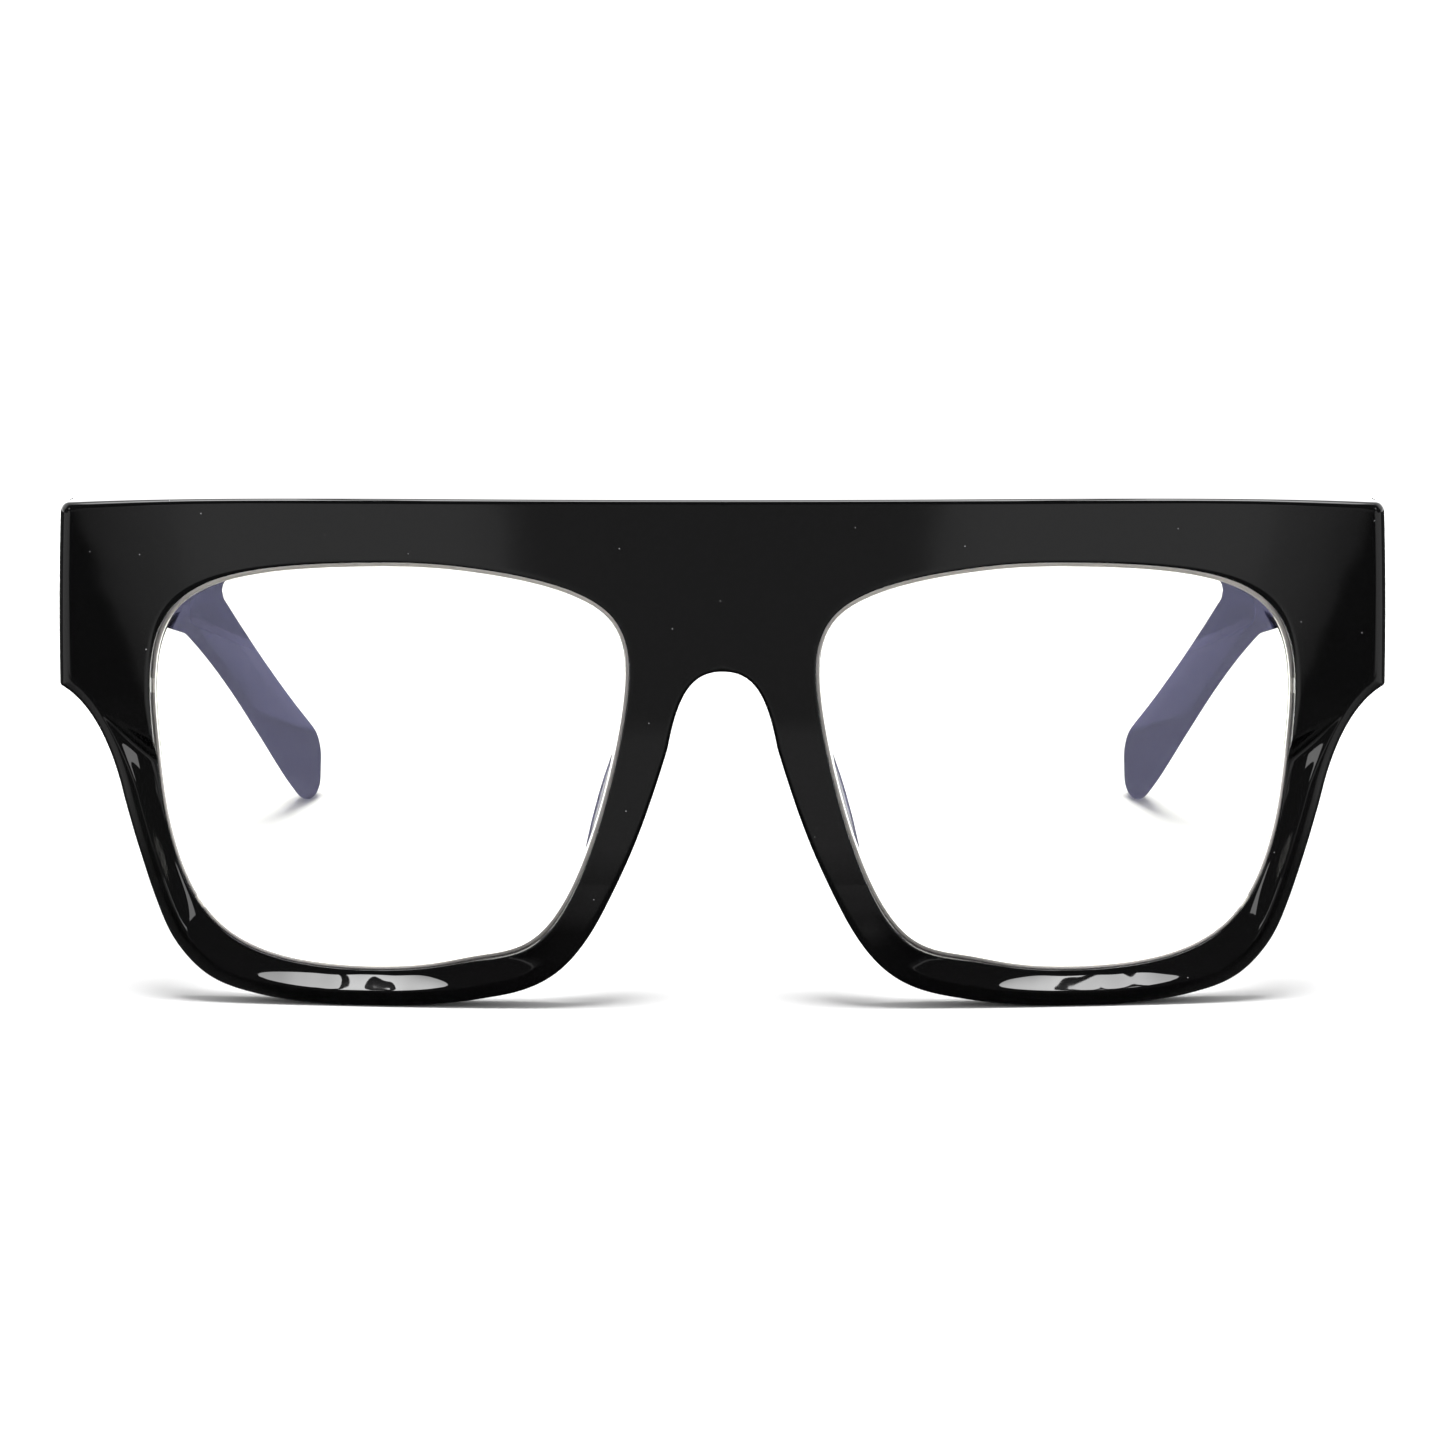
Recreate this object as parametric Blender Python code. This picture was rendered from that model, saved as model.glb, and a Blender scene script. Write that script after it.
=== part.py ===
"""Flat-topped acetate glasses with clear lenses, standing open on their rims and temple tips.

Sizes are in millimetres, with Y measured back from the middle of the front, until make_object moves
them round the origin and turns them into metres. X runs across the front with the wearer's left at +X,
Y runs back along the temples and Z is up. Each half of the front is a ring of stations round its lens
opening: a station joins a point of the opening to a point of the outline.
"""

import math

import bmesh
import bpy
from mathutils import Matrix, Vector

MILLIMETRE = 0.001
CLEARANCE = 0.3

# Front
LENS_WIDTH = 52.8
LENS_HEIGHT = 45.6
BRIDGE_WIDTH = 20.4
RIM_BOTTOM = 3.8
BROW_HEIGHT = 7.0
BROW_FALL = 1.0
END_PIECE_WIDTH = 10.2
END_PIECE_HEIGHT = 21.4
END_PIECE_THICKNESS = 5.92
END_PIECE_BOW = 0.45
TOP_CORNER = 1.1
LOW_CORNER = 0.5
BRIDGE_HEIGHT = 18.8
WRAP_RADIUS = 420.0
BROW_THICKNESS = 6.0
RIM_THICKNESS = 4.4
EDGE_RADIUS = 1.0
BACK_EDGE_RADIUS = 0.6
RIDGE_INSET = 1.75

# Lens, and the groove that holds it between a front and a rear wall
LENS_THICKNESS = 1.8
LENS_BULGE = 1.5
LENS_STATIONS = 40
GROOVE_HALF_WIDTH = 0.9
GROOVE_DEPTH = 0.9
FRONT_WALL = 0.5
REAR_WALL = 0.5
REAR_LIP = 0.55

# Temple: how far its inner face is in from the side of the front, and its reach behind the end piece
TEMPLE_INNER_SETBACK = 7.7
TEMPLE_DROP = 10.6
TEMPLE_THICKNESS = 4.6
TEMPLE_TIP_THICKNESS = 3.6
TEMPLE_REACH = 133.0
TEMPLE_RINGS = 30
TEMPLE_SIDES = 16
TEMPLE_SQUARENESS = 0.45
TIP_START = 0.955
CORE_WIRE_RADIUS = 0.5
CORE_WIRE_END = 25.0
WIRE_STATIONS = 14
WIRE_SIDES = 8

# Hinge
HINGE_DROP = 7.4
KNUCKLE_RADIUS = 1.4
KNUCKLE_HEIGHT = 1.26
FRONT_KNUCKLES = (0, 2, 4)
TEMPLE_KNUCKLES = (1, 3)
HINGE_SCREW_RADIUS = 0.55
LEAF_THICKNESS = 0.9
LEAF_HEIGHT = 6.0
FRONT_LEAF_LENGTH = 4.5
TEMPLE_LEAF_LENGTH = 12.5
FRONT_SCREW_SETBACK = 1.6
FRONT_SCREW_SPACING = 3.2
TEMPLE_SCREW_PLACES = (6.5, 10.5)
LEAF_SCREW_RADIUS = 0.45
LEAF_SCREW_DEPTH = 1.2
LEAF_SCREW_HEAD_RADIUS = 0.9
SCREW_HEAD_HEIGHT = 0.4

# Nose pads
PAD_TOP = 33.0
PAD_BOTTOM = 12.0
PAD_REACH = 5.2
PAD_THICKNESS = 3.0
PAD_LEAN = 0.35
PAD_STATIONS = 11
PAD_SIDES = 12

TOP = RIM_BOTTOM + LENS_HEIGHT + BROW_HEIGHT
HALF_WIDTH = BRIDGE_WIDTH / 2 + LENS_WIDTH + END_PIECE_WIDTH
OPENING_CENTRE = Vector(((BRIDGE_WIDTH + LENS_WIDTH) / 2, RIM_BOTTOM + LENS_HEIGHT / 2))
END_PIECE_BOTTOM = TOP - END_PIECE_HEIGHT
END_PIECE_BACK = HALF_WIDTH**2 / (2 * WRAP_RADIUS) + END_PIECE_THICKNESS
LENS_DEPTH = RIM_THICKNESS - REAR_WALL - GROOVE_HALF_WIDTH
DISH_DEPTH = LENS_DEPTH - GROOVE_HALF_WIDTH - FRONT_WALL
TEMPLE_INNER_X = HALF_WIDTH - TEMPLE_INNER_SETBACK
TEMPLE_START = END_PIECE_BACK + CLEARANCE
TEMPLE_HINGE_Z = TOP - TEMPLE_DROP
CORE_WIRE_REACH = TEMPLE_REACH - CORE_WIRE_END
PIVOT_X = TEMPLE_INNER_X - CLEARANCE - KNUCKLE_RADIUS
PIVOT_Y = END_PIECE_BACK + CLEARANCE + KNUCKLE_RADIUS
HINGE_Z = TOP - HINGE_DROP
KNUCKLES = len(FRONT_KNUCKLES) + len(TEMPLE_KNUCKLES)
HINGE_HEIGHT = KNUCKLES * KNUCKLE_HEIGHT + (KNUCKLES - 1) * CLEARANCE

# Opening: the control polygon of a closed cubic B-spline, in halves of the lens size from its centre.
# The nose side is at -1 and the temple side at +1.
OPENING_POLYGON = (
    (-0.84, -0.48), (-1.02, 0.36), (-1.00, 0.85), (-0.32, 1.00), (0.03, 1.01), (0.76, 0.97), (1.03, 0.65),
    (0.98, 0.01), (0.95, -0.34), (0.81, -0.79), (0.46, -1.00), (-0.13, -1.01), (-0.35, -0.93), (-0.62, -0.91),
)

# Width of the rim at angles round the lens centre, from the temple side down and round to the nose.
RIM_WIDTHS = (
    (-6, 4.2), (-14, 3.8), (-23, 3.62), (-31, 3.86), (-40, 4.6), (-48, 4.95), (-58, 4.4), (-70, 4.0),
    (-85, 3.85), (-99, 3.92), (-112, 4.24), (-126, 4.1), (-139, 3.88), (-150, 3.9), (-165, 4.35),
    (-180, 4.85), (-188, 5.2),
)

# Sections of the outline: how many stations each has, and the opening angle that each one ends at.
OPENING_START_ANGLE = 143.0
OUTLINE_SECTIONS = (
    ("brow", 14, 40.0),
    ("side", 9, 14.0),
    ("step", 7, -6.0),
    ("rim", 38, -188.0),
    ("arch", 6, -206.0),
    ("middle", 8, -217.0),
)

# Temple stations: share of the reach, share of the fall from the hinge, height across its run, and how
# far the inner face has moved in.
TEMPLE_STATIONS = (
    (0.00, 0.00, 17.0, 0.0),
    (0.06, 0.01, 15.6, 0.0),
    (0.20, 0.05, 11.9, 0.0),
    (0.35, 0.11, 9.4, 0.1),
    (0.49, 0.20, 8.4, 0.5),
    (0.60, 0.33, 8.2, 1.6),
    (0.70, 0.49, 8.6, 3.4),
    (0.80, 0.67, 9.6, 5.6),
    (0.90, 0.85, 10.6, 7.9),
    (1.00, 1.00, 10.8, 9.8),
)

def clear_scene():
    for old in list(bpy.data.objects):
        bpy.data.objects.remove(old, do_unlink=True)


def make_material(name, colour, roughness, metallic=0.0, transmission=0.0):
    material = bpy.data.materials.new(name)
    material.use_nodes = True
    shader = material.node_tree.nodes["Principled BSDF"]
    shader.inputs["Base Color"].default_value = (*colour, 1.0)
    shader.inputs["Roughness"].default_value = roughness
    shader.inputs["Metallic"].default_value = metallic
    shader.inputs["Transmission Weight"].default_value = transmission
    return material


def black_acetate(name):
    return make_material(name, (0.012, 0.012, 0.013), 0.08)


def hinge_metal(name):
    return make_material(name, (0.62, 0.62, 0.64), 0.25, metallic=1.0)


def clear_lens(name):
    return make_material(name, (0.93, 0.94, 1.0), 0.02, transmission=0.95)


def make_empty(name, place):
    empty = bpy.data.objects.new(name, None)
    empty.location = (Vector(place) + TO_ORIGIN) * MILLIMETRE
    bpy.context.scene.collection.objects.link(empty)
    return empty


def make_object(name, shape, material, parent=None):
    """Turns a shape in millimetres into an object that stands round the origin, on its parent if it has one."""
    bmesh.ops.remove_doubles(shape, verts=shape.verts, dist=1e-5)
    bmesh.ops.recalc_face_normals(shape, faces=shape.faces)
    bmesh.ops.translate(shape, vec=TO_ORIGIN, verts=shape.verts)
    bmesh.ops.scale(shape, vec=(MILLIMETRE,) * 3, verts=shape.verts)
    if parent:
        bmesh.ops.translate(shape, vec=-parent.location, verts=shape.verts)
    mesh = bpy.data.meshes.new(name)
    shape.to_mesh(mesh)
    shape.free()
    mesh.shade_smooth()
    mesh.set_sharp_from_angle(angle=math.radians(35))
    mesh.materials.append(material)
    made = bpy.data.objects.new(name, mesh)
    made.parent = parent
    bpy.context.scene.collection.objects.link(made)
    return made


def make_cutter(name, shape, parent=None):
    cutter = make_object(name, shape, bpy.data.materials["cutter"], parent)
    cutter.hide_render = True
    cutter.display_type = "WIRE"
    return cutter


def add_boolean(target, other, operation):
    modifier = target.modifiers.new(other.name, "BOOLEAN")
    modifier.operation = operation
    modifier.solver = "EXACT"
    modifier.object = other


def box(low, high):
    shape = bmesh.new()
    bmesh.ops.create_cube(shape, size=1.0)
    low, high = Vector(low), Vector(high)
    bmesh.ops.scale(shape, vec=high - low, verts=shape.verts)
    bmesh.ops.translate(shape, vec=(low + high) / 2, verts=shape.verts)
    return shape


def cylinder(start, end, radius, sides=20):
    shape = bmesh.new()
    start, end = Vector(start), Vector(end)
    along = end - start
    turn = along.to_track_quat("Z", "Y").to_matrix().to_4x4()
    place = Matrix.Translation((start + end) / 2) @ turn
    bmesh.ops.create_cone(
        shape, cap_ends=True, segments=sides, radius1=radius, radius2=radius, depth=along.length, matrix=place
    )
    return shape


def loft(rings, caps=True):
    """A skin over rings with the same number of points, closed at both ends by flat caps."""
    shape = bmesh.new()
    rows = [[shape.verts.new(point) for point in ring] for ring in rings]
    count = len(rows[0])
    for near, far in zip(rows, rows[1:]):
        for i in range(count):
            j = (i + 1) % count
            shape.faces.new((near[i], near[j], far[j], far[i]))
    if caps:
        shape.faces.new(rows[0])
        shape.faces.new(rows[-1])
    return shape


def blend(low, high, value):
    """0 below low, 1 above high and a smooth ramp between them."""
    share = min(1.0, max(0.0, (value - low) / (high - low)))
    return share * share * (3.0 - 2.0 * share)


def spline_value(table, position):
    """Reads a table of (position, value, ...) rows as smooth curves: one value, or a list of them."""
    rows = sorted(table)
    if position <= rows[0][0]:
        return list(rows[0][1:])
    if position >= rows[-1][0]:
        return list(rows[-1][1:])
    k = max(i for i in range(len(rows) - 1) if rows[i][0] <= position)
    before, start, end, after = rows[max(k - 1, 0)], rows[k], rows[k + 1], rows[min(k + 2, len(rows) - 1)]
    span = end[0] - start[0]
    t = (position - start[0]) / span
    values = []
    for i in range(1, len(start)):
        slope_in = (end[i] - before[i]) / (end[0] - before[0]) * span
        slope_out = (after[i] - start[i]) / (after[0] - start[0]) * span
        values.append(
            (2 * t**3 - 3 * t**2 + 1) * start[i]
            + (t**3 - 2 * t**2 + t) * slope_in
            + (3 * t**2 - 2 * t**3) * end[i]
            + (t**3 - t**2) * slope_out
        )
    return values


def b_spline_loop(polygon, steps):
    """Points along the closed uniform cubic B-spline of a control polygon."""
    count = len(polygon)
    points = []
    for i in range(count):
        corners = [Vector(polygon[(i + k - 1) % count]) for k in range(4)]
        for step in range(steps):
            t = step / steps
            weights = ((1 - t) ** 3, 3 * t**3 - 6 * t**2 + 4, -3 * t**3 + 3 * t**2 + 3 * t + 1, t**3)
            total = Vector((0.0, 0.0))
            for weight, corner in zip(weights, corners):
                total += corner * (weight / 6)
            points.append(total)
    return points


def make_opening_table():
    """Rows of (angle in degrees, x, z) round the opening, once and a bit round, from a B-spline fitted to its box."""
    curve = b_spline_loop(OPENING_POLYGON, 24)
    low = Vector((min(p.x for p in curve), min(p.y for p in curve)))
    high = Vector((max(p.x for p in curve), max(p.y for p in curve)))
    half = Vector((LENS_WIDTH / 2, LENS_HEIGHT / 2))
    rows = []
    for point in curve:
        share = Vector((2 * (point.x - low.x) / (high.x - low.x) - 1, 2 * (point.y - low.y) / (high.y - low.y) - 1))
        place = Vector((share.x * half.x, share.y * half.y))
        angle = math.degrees(math.atan2(place.y, place.x))
        for turn in (-360.0, 0.0):
            rows.append((angle + turn, OPENING_CENTRE.x + place.x, OPENING_CENTRE.y + place.y))
    return sorted(rows)


OPENING_TABLE = make_opening_table()


def opening_point(angle):
    """The point of the opening's edge at this angle round the lens centre."""
    for low, high in zip(OPENING_TABLE, OPENING_TABLE[1:]):
        if low[0] <= angle <= high[0]:
            share = (angle - low[0]) / (high[0] - low[0])
            return Vector((low[1] + (high[1] - low[1]) * share, low[2] + (high[2] - low[2]) * share))
    raise ValueError(f"no opening point at {angle} degrees")


def opening_normal(angle):
    """Points away from the lens, square to the opening's edge."""
    along = opening_point(angle + 2.0) - opening_point(angle - 2.0)
    return Vector((along.y, -along.x)).normalized()


def bezier(a, b, c, d, t):
    return a * (1 - t) ** 3 + b * 3 * t * (1 - t) ** 2 + c * 3 * t**2 * (1 - t) + d * t**3


def rim_point(angle):
    place = opening_point(angle) + opening_normal(angle) * spline_value(RIM_WIDTHS, angle)[0]
    return Vector((place.x, max(place.y, 0.0)))


def brow_point(share):
    x = (HALF_WIDTH - END_PIECE_BOW - TOP_CORNER) * share
    return Vector((x, TOP - BROW_FALL * (x / HALF_WIDTH) ** 5))


def side_point(share):
    """Round the top corner of the end piece, down its side and round its lower corner."""
    corner = brow_point(1.0)
    low = Vector((HALF_WIDTH, END_PIECE_BOTTOM + LOW_CORNER))
    if share < 0.25:
        turn = math.radians(90 * (1 - share / 0.25))
        return corner + Vector((math.cos(turn), math.sin(turn) - 1)) * TOP_CORNER
    if share > 0.9:
        turn = math.radians(60 * (share - 0.9) / 0.1)
        return low + Vector((math.cos(turn) - 1, -math.sin(turn))) * LOW_CORNER
    t = (share - 0.25) / 0.65
    start = corner + Vector((TOP_CORNER, -TOP_CORNER))
    return Vector((low.x + (start.x - low.x) * (1 - t) ** 2, start.y + (low.y - start.y) * t))


def step_point(share):
    """The hollow curve from the end piece down into the rim."""
    start = side_point(1.0)
    end = rim_point(-6.0)
    lead = Vector((-0.87, -0.5)) * (start - end).length * 0.27
    tail = Vector((0.22, 0.97)) * (start - end).length * 0.43
    return bezier(start, start + lead, end + tail, end, share)


def arch_point(share):
    """From the nose side of the rim up and over to the middle of the bridge."""
    start = rim_point(-188.0)
    end = Vector((0.0, TOP - BRIDGE_HEIGHT))
    lead = Vector((start.x * 0.82, start.y + (end.y - start.y) * 0.68))
    tail = Vector((start.x * 0.58, end.y))
    return bezier(start, lead, tail, end, share)


def rim_section_point(share):
    return rim_point(-6.0 - 182.0 * share)


def middle_point(share):
    """Up the middle of the bridge, with stations close together where its two edges are rounded."""
    edge = EDGE_RADIUS / BRIDGE_HEIGHT
    heights = (0.0, 0.3 * edge, edge, 0.25, 0.5, 0.75, 1 - edge, 1 - 0.3 * edge, 1.0)
    height = heights[round(share * (len(heights) - 1))]
    return Vector((0.0, TOP - BRIDGE_HEIGHT * (1 - height)))


SECTION_POINTS = {
    "brow": brow_point,
    "side": side_point,
    "step": step_point,
    "rim": rim_section_point,
    "arch": arch_point,
    "middle": middle_point,
}


def make_stations():
    """A row of (opening angle, outline point) for each station round one half of the front."""
    stations = []
    start = OPENING_START_ANGLE
    for name, count, end in OUTLINE_SECTIONS:
        for i in range(count):
            share = i / count
            stations.append((start + (end - start) * share, SECTION_POINTS[name](share)))
        start = end
    return stations


STATIONS = make_stations()
SILHOUETTE = [point for _, point in STATIONS if point.x > 0.0] + [middle_point(0.0)]
SILHOUETTE.insert(0, middle_point(1.0))


def distance_to_outline(place):
    nearest = math.inf
    for a, b in zip(SILHOUETTE, SILHOUETTE[1:]):
        along = b - a
        share = min(1.0, max(0.0, (place - a).dot(along) / along.length_squared))
        nearest = min(nearest, (place - a - along * share).length)
    return nearest


def wrap(x):
    """How far the curve of the front has gone back at x."""
    return x * x / (2 * WRAP_RADIUS)


def rounding(distance, radius):
    """How far a rounded edge has fallen away at this distance in from it."""
    if distance >= radius:
        return 0.0
    return radius - math.sqrt(radius**2 - (radius - distance) ** 2)


def dish_depth(angle):
    """Depth of the scooped lower rim at the lens edge: it starts at the end piece and fades out by the nose."""
    return DISH_DEPTH * (1 - blend(-10.0, 6.0, angle)) * blend(-133.0, -92.0, angle)


def front_y(place, angle, to_lens):
    """The front face. to_lens runs from 0 at the ridge of the dish to 1 at the lens opening."""
    scoop = dish_depth(angle) * (1 - (1 - to_lens) ** 1.8)
    return wrap(place.x) + rounding(distance_to_outline(place), EDGE_RADIUS) + scoop


def back_y(place):
    """The back face: it follows the front, and is flat where the end piece carries the hinge."""
    thickness = RIM_THICKNESS + (BROW_THICKNESS - RIM_THICKNESS) * blend(8.0, 34.0, place.y)
    curved = wrap(place.x) + thickness
    flat_x = PIVOT_X - FRONT_LEAF_LENGTH - 0.4
    flat = blend(flat_x - 2.6, flat_x, place.x) * blend(END_PIECE_BOTTOM - 1.5, END_PIECE_BOTTOM + 1.0, place.y)
    level = curved + (END_PIECE_BACK - curved) * flat
    return level - rounding(distance_to_outline(place), BACK_EDGE_RADIUS)


def station_profile(angle, outer):
    """The closed section of the front at one station, from the front lip out, round the back and through the groove."""
    lip = opening_point(angle)
    normal = opening_normal(angle)
    inward = (lip - outer).normalized()
    ridge = outer + inward * RIDGE_INSET
    points = []
    for to_lens in (1.0, 0.66, 0.33, 0.0):
        place = ridge + (lip - ridge) * to_lens
        points.append((place, front_y(place, angle, to_lens)))
    for inset in (EDGE_RADIUS, 0.3 * EDGE_RADIUS, 0.0):
        place = outer + inward * inset
        points.append((place, front_y(place, angle, 0.0)))
    rear_lip = lip - normal * REAR_LIP
    for place in (outer, outer + inward * BACK_EDGE_RADIUS, (outer + rear_lip) / 2, rear_lip):
        points.append((place, back_y(place)))
    groove = wrap(lip.x) + LENS_DEPTH
    points.append((rear_lip, groove + GROOVE_HALF_WIDTH))
    points.append((lip + normal * GROOVE_DEPTH, groove))
    points.append((lip, groove - GROOVE_HALF_WIDTH))
    return [Vector((place.x, y, place.y)) for place, y in points]


FRONT_EDGE_INDEX = 6


def add_front_half(shape, side):
    profiles = [station_profile(angle, outer) for angle, outer in STATIONS]
    rows = [[shape.verts.new((side * p.x, p.y, p.z)) for p in profile] for profile in profiles]
    for k, row in enumerate(rows):
        following = rows[(k + 1) % len(rows)]
        for i in range(len(row)):
            j = (i + 1) % len(row)
            in_middle = i == FRONT_EDGE_INDEX and abs(row[i].co.x) < 1e-6 and abs(following[i].co.x) < 1e-6
            if not in_middle:
                face = (row[i], row[j], following[j], following[i])
                shape.faces.new(face if side > 0 else face[::-1])


def make_front(material):
    shape = bmesh.new()
    for side in (1, -1):
        add_front_half(shape, side)
    return make_object("front_frame", shape, material)


def lens_ring(share, offset, depth):
    """A ring of the lens: share of the opening, moved out by offset, at this depth from the groove's middle."""
    ring = []
    for i in range(LENS_STATIONS):
        angle = OPENING_START_ANGLE - 360.0 * i / LENS_STATIONS
        edge = opening_point(angle) + opening_normal(angle) * offset
        place = OPENING_CENTRE + (edge - OPENING_CENTRE) * share
        y = wrap(place.x) + LENS_DEPTH - LENS_BULGE * (1 - share**2) + depth
        ring.append((place.x, y, place.y))
    return ring


def mirrored(rings, side):
    return [[(side * x, y, z) for x, y, z in ring] for ring in rings]


def make_lens(name, side, material):
    shoulder = CLEARANCE + 0.05
    half = LENS_THICKNESS / 2
    rings = [lens_ring(share, -shoulder, -half) for share in (0.02, 0.35, 0.7, 1.0)]
    rings.append(lens_ring(1.0, -shoulder, -GROOVE_HALF_WIDTH / 2))
    rings.append(lens_ring(1.0, GROOVE_DEPTH - 1.5 * CLEARANCE, 0.0))
    rings.append(lens_ring(1.0, -REAR_LIP - shoulder, GROOVE_HALF_WIDTH - CLEARANCE))
    rings += [lens_ring(share, -REAR_LIP - shoulder, half) for share in (1.0, 0.7, 0.35, 0.02)]
    return make_object(name, loft(mirrored(rings, side)), material)


def make_pad(name, side, material):
    """A bonded pad behind the nose side of the rim, long and oval, leaning outwards as it goes back."""
    rings = []
    for i in range(PAD_STATIONS):
        share = i / (PAD_STATIONS - 1)
        z = PAD_TOP + (PAD_BOTTOM - PAD_TOP) * share
        size = math.sqrt(max(0.04, 1 - (2 * share - 1) ** 2 * 0.985))
        angle = pad_angle(z)
        lip = opening_point(angle)
        normal = opening_normal(angle)
        root = lip + normal * (PAD_THICKNESS / 2 - 0.2)
        back = back_y(root) + CLEARANCE
        ring = []
        for k in range(PAD_SIDES):
            turn = 2 * math.pi * k / PAD_SIDES
            reach = (1 + math.cos(turn)) / 2 * PAD_REACH * size
            across = math.sin(turn) * PAD_THICKNESS / 2 * size - reach * PAD_LEAN
            place = root + normal * across
            ring.append((side * place.x, back + reach, z))
        rings.append(ring)
    return make_object(name, loft(rings), material)


def pad_angle(z):
    """The opening angle on the nose side at this height."""
    candidates = [-150.0 - i * 0.5 for i in range(110)]
    return min(candidates, key=lambda angle: abs(opening_point(angle).y - z))


def temple_section(share, fall):
    """Centre height, height, inner x and thickness of the temple at a share of its reach."""
    drop, height, inset = spline_value(TEMPLE_STATIONS, share)
    thickness = TEMPLE_THICKNESS + (TEMPLE_TIP_THICKNESS - TEMPLE_THICKNESS) * blend(0.1, 0.9, share)
    return TEMPLE_HINGE_Z - fall * drop, height, TEMPLE_INNER_X - inset, thickness


def temple_shares():
    """Even steps down the temple, then steps that close up round its tip."""
    straight = [TIP_START * i / (TEMPLE_RINGS - 6) for i in range(TEMPLE_RINGS - 6)]
    tip = [TIP_START + (1 - TIP_START) * math.sin(math.radians(15 * i)) for i in range(6)]
    return straight + tip + [1.0 - 0.0006]


def temple_rings(fall):
    """Rounded-rectangle rings square to the temple's run, shrunk as an ellipse round its tip."""
    rings = []
    for share in temple_shares():
        centre, height, inner, thickness = temple_section(share, fall)
        ahead = temple_section(min(1.0, share + 0.01), fall)[0]
        behind = temple_section(max(0.0, share - 0.01), fall)[0]
        span = (min(1.0, share + 0.01) - max(0.0, share - 0.01)) * TEMPLE_REACH
        lean = math.atan2(behind - ahead, span) * blend(0.0, 0.1, share)
        into_tip = max(0.0, (share - TIP_START) / (1 - TIP_START))
        fill = math.sqrt(1 - into_tip**2)
        ring = []
        for k in range(TEMPLE_SIDES):
            turn = 2 * math.pi * (k + 0.5) / TEMPLE_SIDES
            across = math.copysign(abs(math.cos(turn)) ** TEMPLE_SQUARENESS, math.cos(turn)) * fill
            up = math.copysign(abs(math.sin(turn)) ** TEMPLE_SQUARENESS, math.sin(turn)) * fill * height / 2
            x = inner + thickness / 2 * (1 + across)
            y = TEMPLE_START + TEMPLE_REACH * share + up * math.sin(lean)
            ring.append((x, y, centre + up * math.cos(lean)))
        rings.append(ring)
    return rings


def find_temple_fall():
    """The fall from hinge to tip that stands the temple on the surface the rims stand on."""
    fall = TEMPLE_HINGE_Z - 6.0
    for _ in range(8):
        fall += min(z for ring in temple_rings(fall) for _, _, z in ring)
    return fall


TEMPLE_FALL = find_temple_fall()
DEPTH = max(y for ring in temple_rings(TEMPLE_FALL) for _, y, _ in ring)
TO_ORIGIN = Vector((0.0, -DEPTH / 2, 0.0))


def make_temple(name, side, material, pivot):
    temple = make_object(name, loft(mirrored(temple_rings(TEMPLE_FALL), side)), material, pivot)
    bore = make_cutter(f"{name}_bore", core_tube(side, CORE_WIRE_RADIUS + CLEARANCE, -1.0, 2.0), pivot)
    add_boolean(temple, bore, "DIFFERENCE")
    return temple


def core_tube(side, radius, lead, tail):
    """A round rod down the middle of the temple, started lead and ended tail beyond the core wire's own ends."""
    start = lead
    end = CORE_WIRE_REACH + tail
    rings = []
    for i in range(WIRE_STATIONS + 1):
        along = start + (end - start) * i / WIRE_STATIONS
        centre, _, inner, thickness = temple_section(max(0.0, along / TEMPLE_REACH), TEMPLE_FALL)
        ring = []
        for k in range(WIRE_SIDES):
            turn = 2 * math.pi * k / WIRE_SIDES
            x = inner + thickness / 2 + radius * math.cos(turn)
            ring.append((side * x, TEMPLE_START + along, centre + radius * math.sin(turn)))
        rings.append(ring)
    return loft(rings)


def knuckle_span(index):
    low = HINGE_Z - HINGE_HEIGHT / 2 + index * (KNUCKLE_HEIGHT + CLEARANCE)
    return low, low + KNUCKLE_HEIGHT


def finish_leaf(leaf, side, own, screws, pivot):
    """Adds the barrel to a leaf's plate, opens it for the screw and clears the other leaf's knuckles."""
    x, y = side * PIVOT_X, PIVOT_Y
    low, high = HINGE_Z - HINGE_HEIGHT / 2, HINGE_Z + HINGE_HEIGHT / 2
    barrel = make_cutter(f"{leaf.name}_barrel", cylinder((x, y, low), (x, y, high), KNUCKLE_RADIUS, 24), pivot)
    add_boolean(leaf, barrel, "UNION")
    hole_radius = HINGE_SCREW_RADIUS + CLEARANCE
    hole = make_cutter(f"{leaf.name}_hole", cylinder((x, y, low - 1), (x, y, high + 1), hole_radius), pivot)
    add_boolean(leaf, hole, "DIFFERENCE")
    for index in range(KNUCKLES):
        if index in own:
            continue
        bottom, top = knuckle_span(index)
        bottom -= 2.0 if index == 0 else CLEARANCE
        top += 2.0 if index == KNUCKLES - 1 else CLEARANCE
        slot_shape = cylinder((x, y, bottom), (x, y, top), KNUCKLE_RADIUS + CLEARANCE, 24)
        add_boolean(leaf, make_cutter(f"{leaf.name}_slot_{index}", slot_shape, pivot), "DIFFERENCE")
    for number, (place, inwards) in enumerate(screws):
        start = Vector(place) - Vector(inwards) * 2.0
        end = Vector(place) + Vector(inwards) * 2.0
        drilled = cylinder(start, end, LEAF_SCREW_RADIUS + CLEARANCE, 12)
        add_boolean(leaf, make_cutter(f"{leaf.name}_drilling_{number}", drilled, pivot), "DIFFERENCE")


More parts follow.
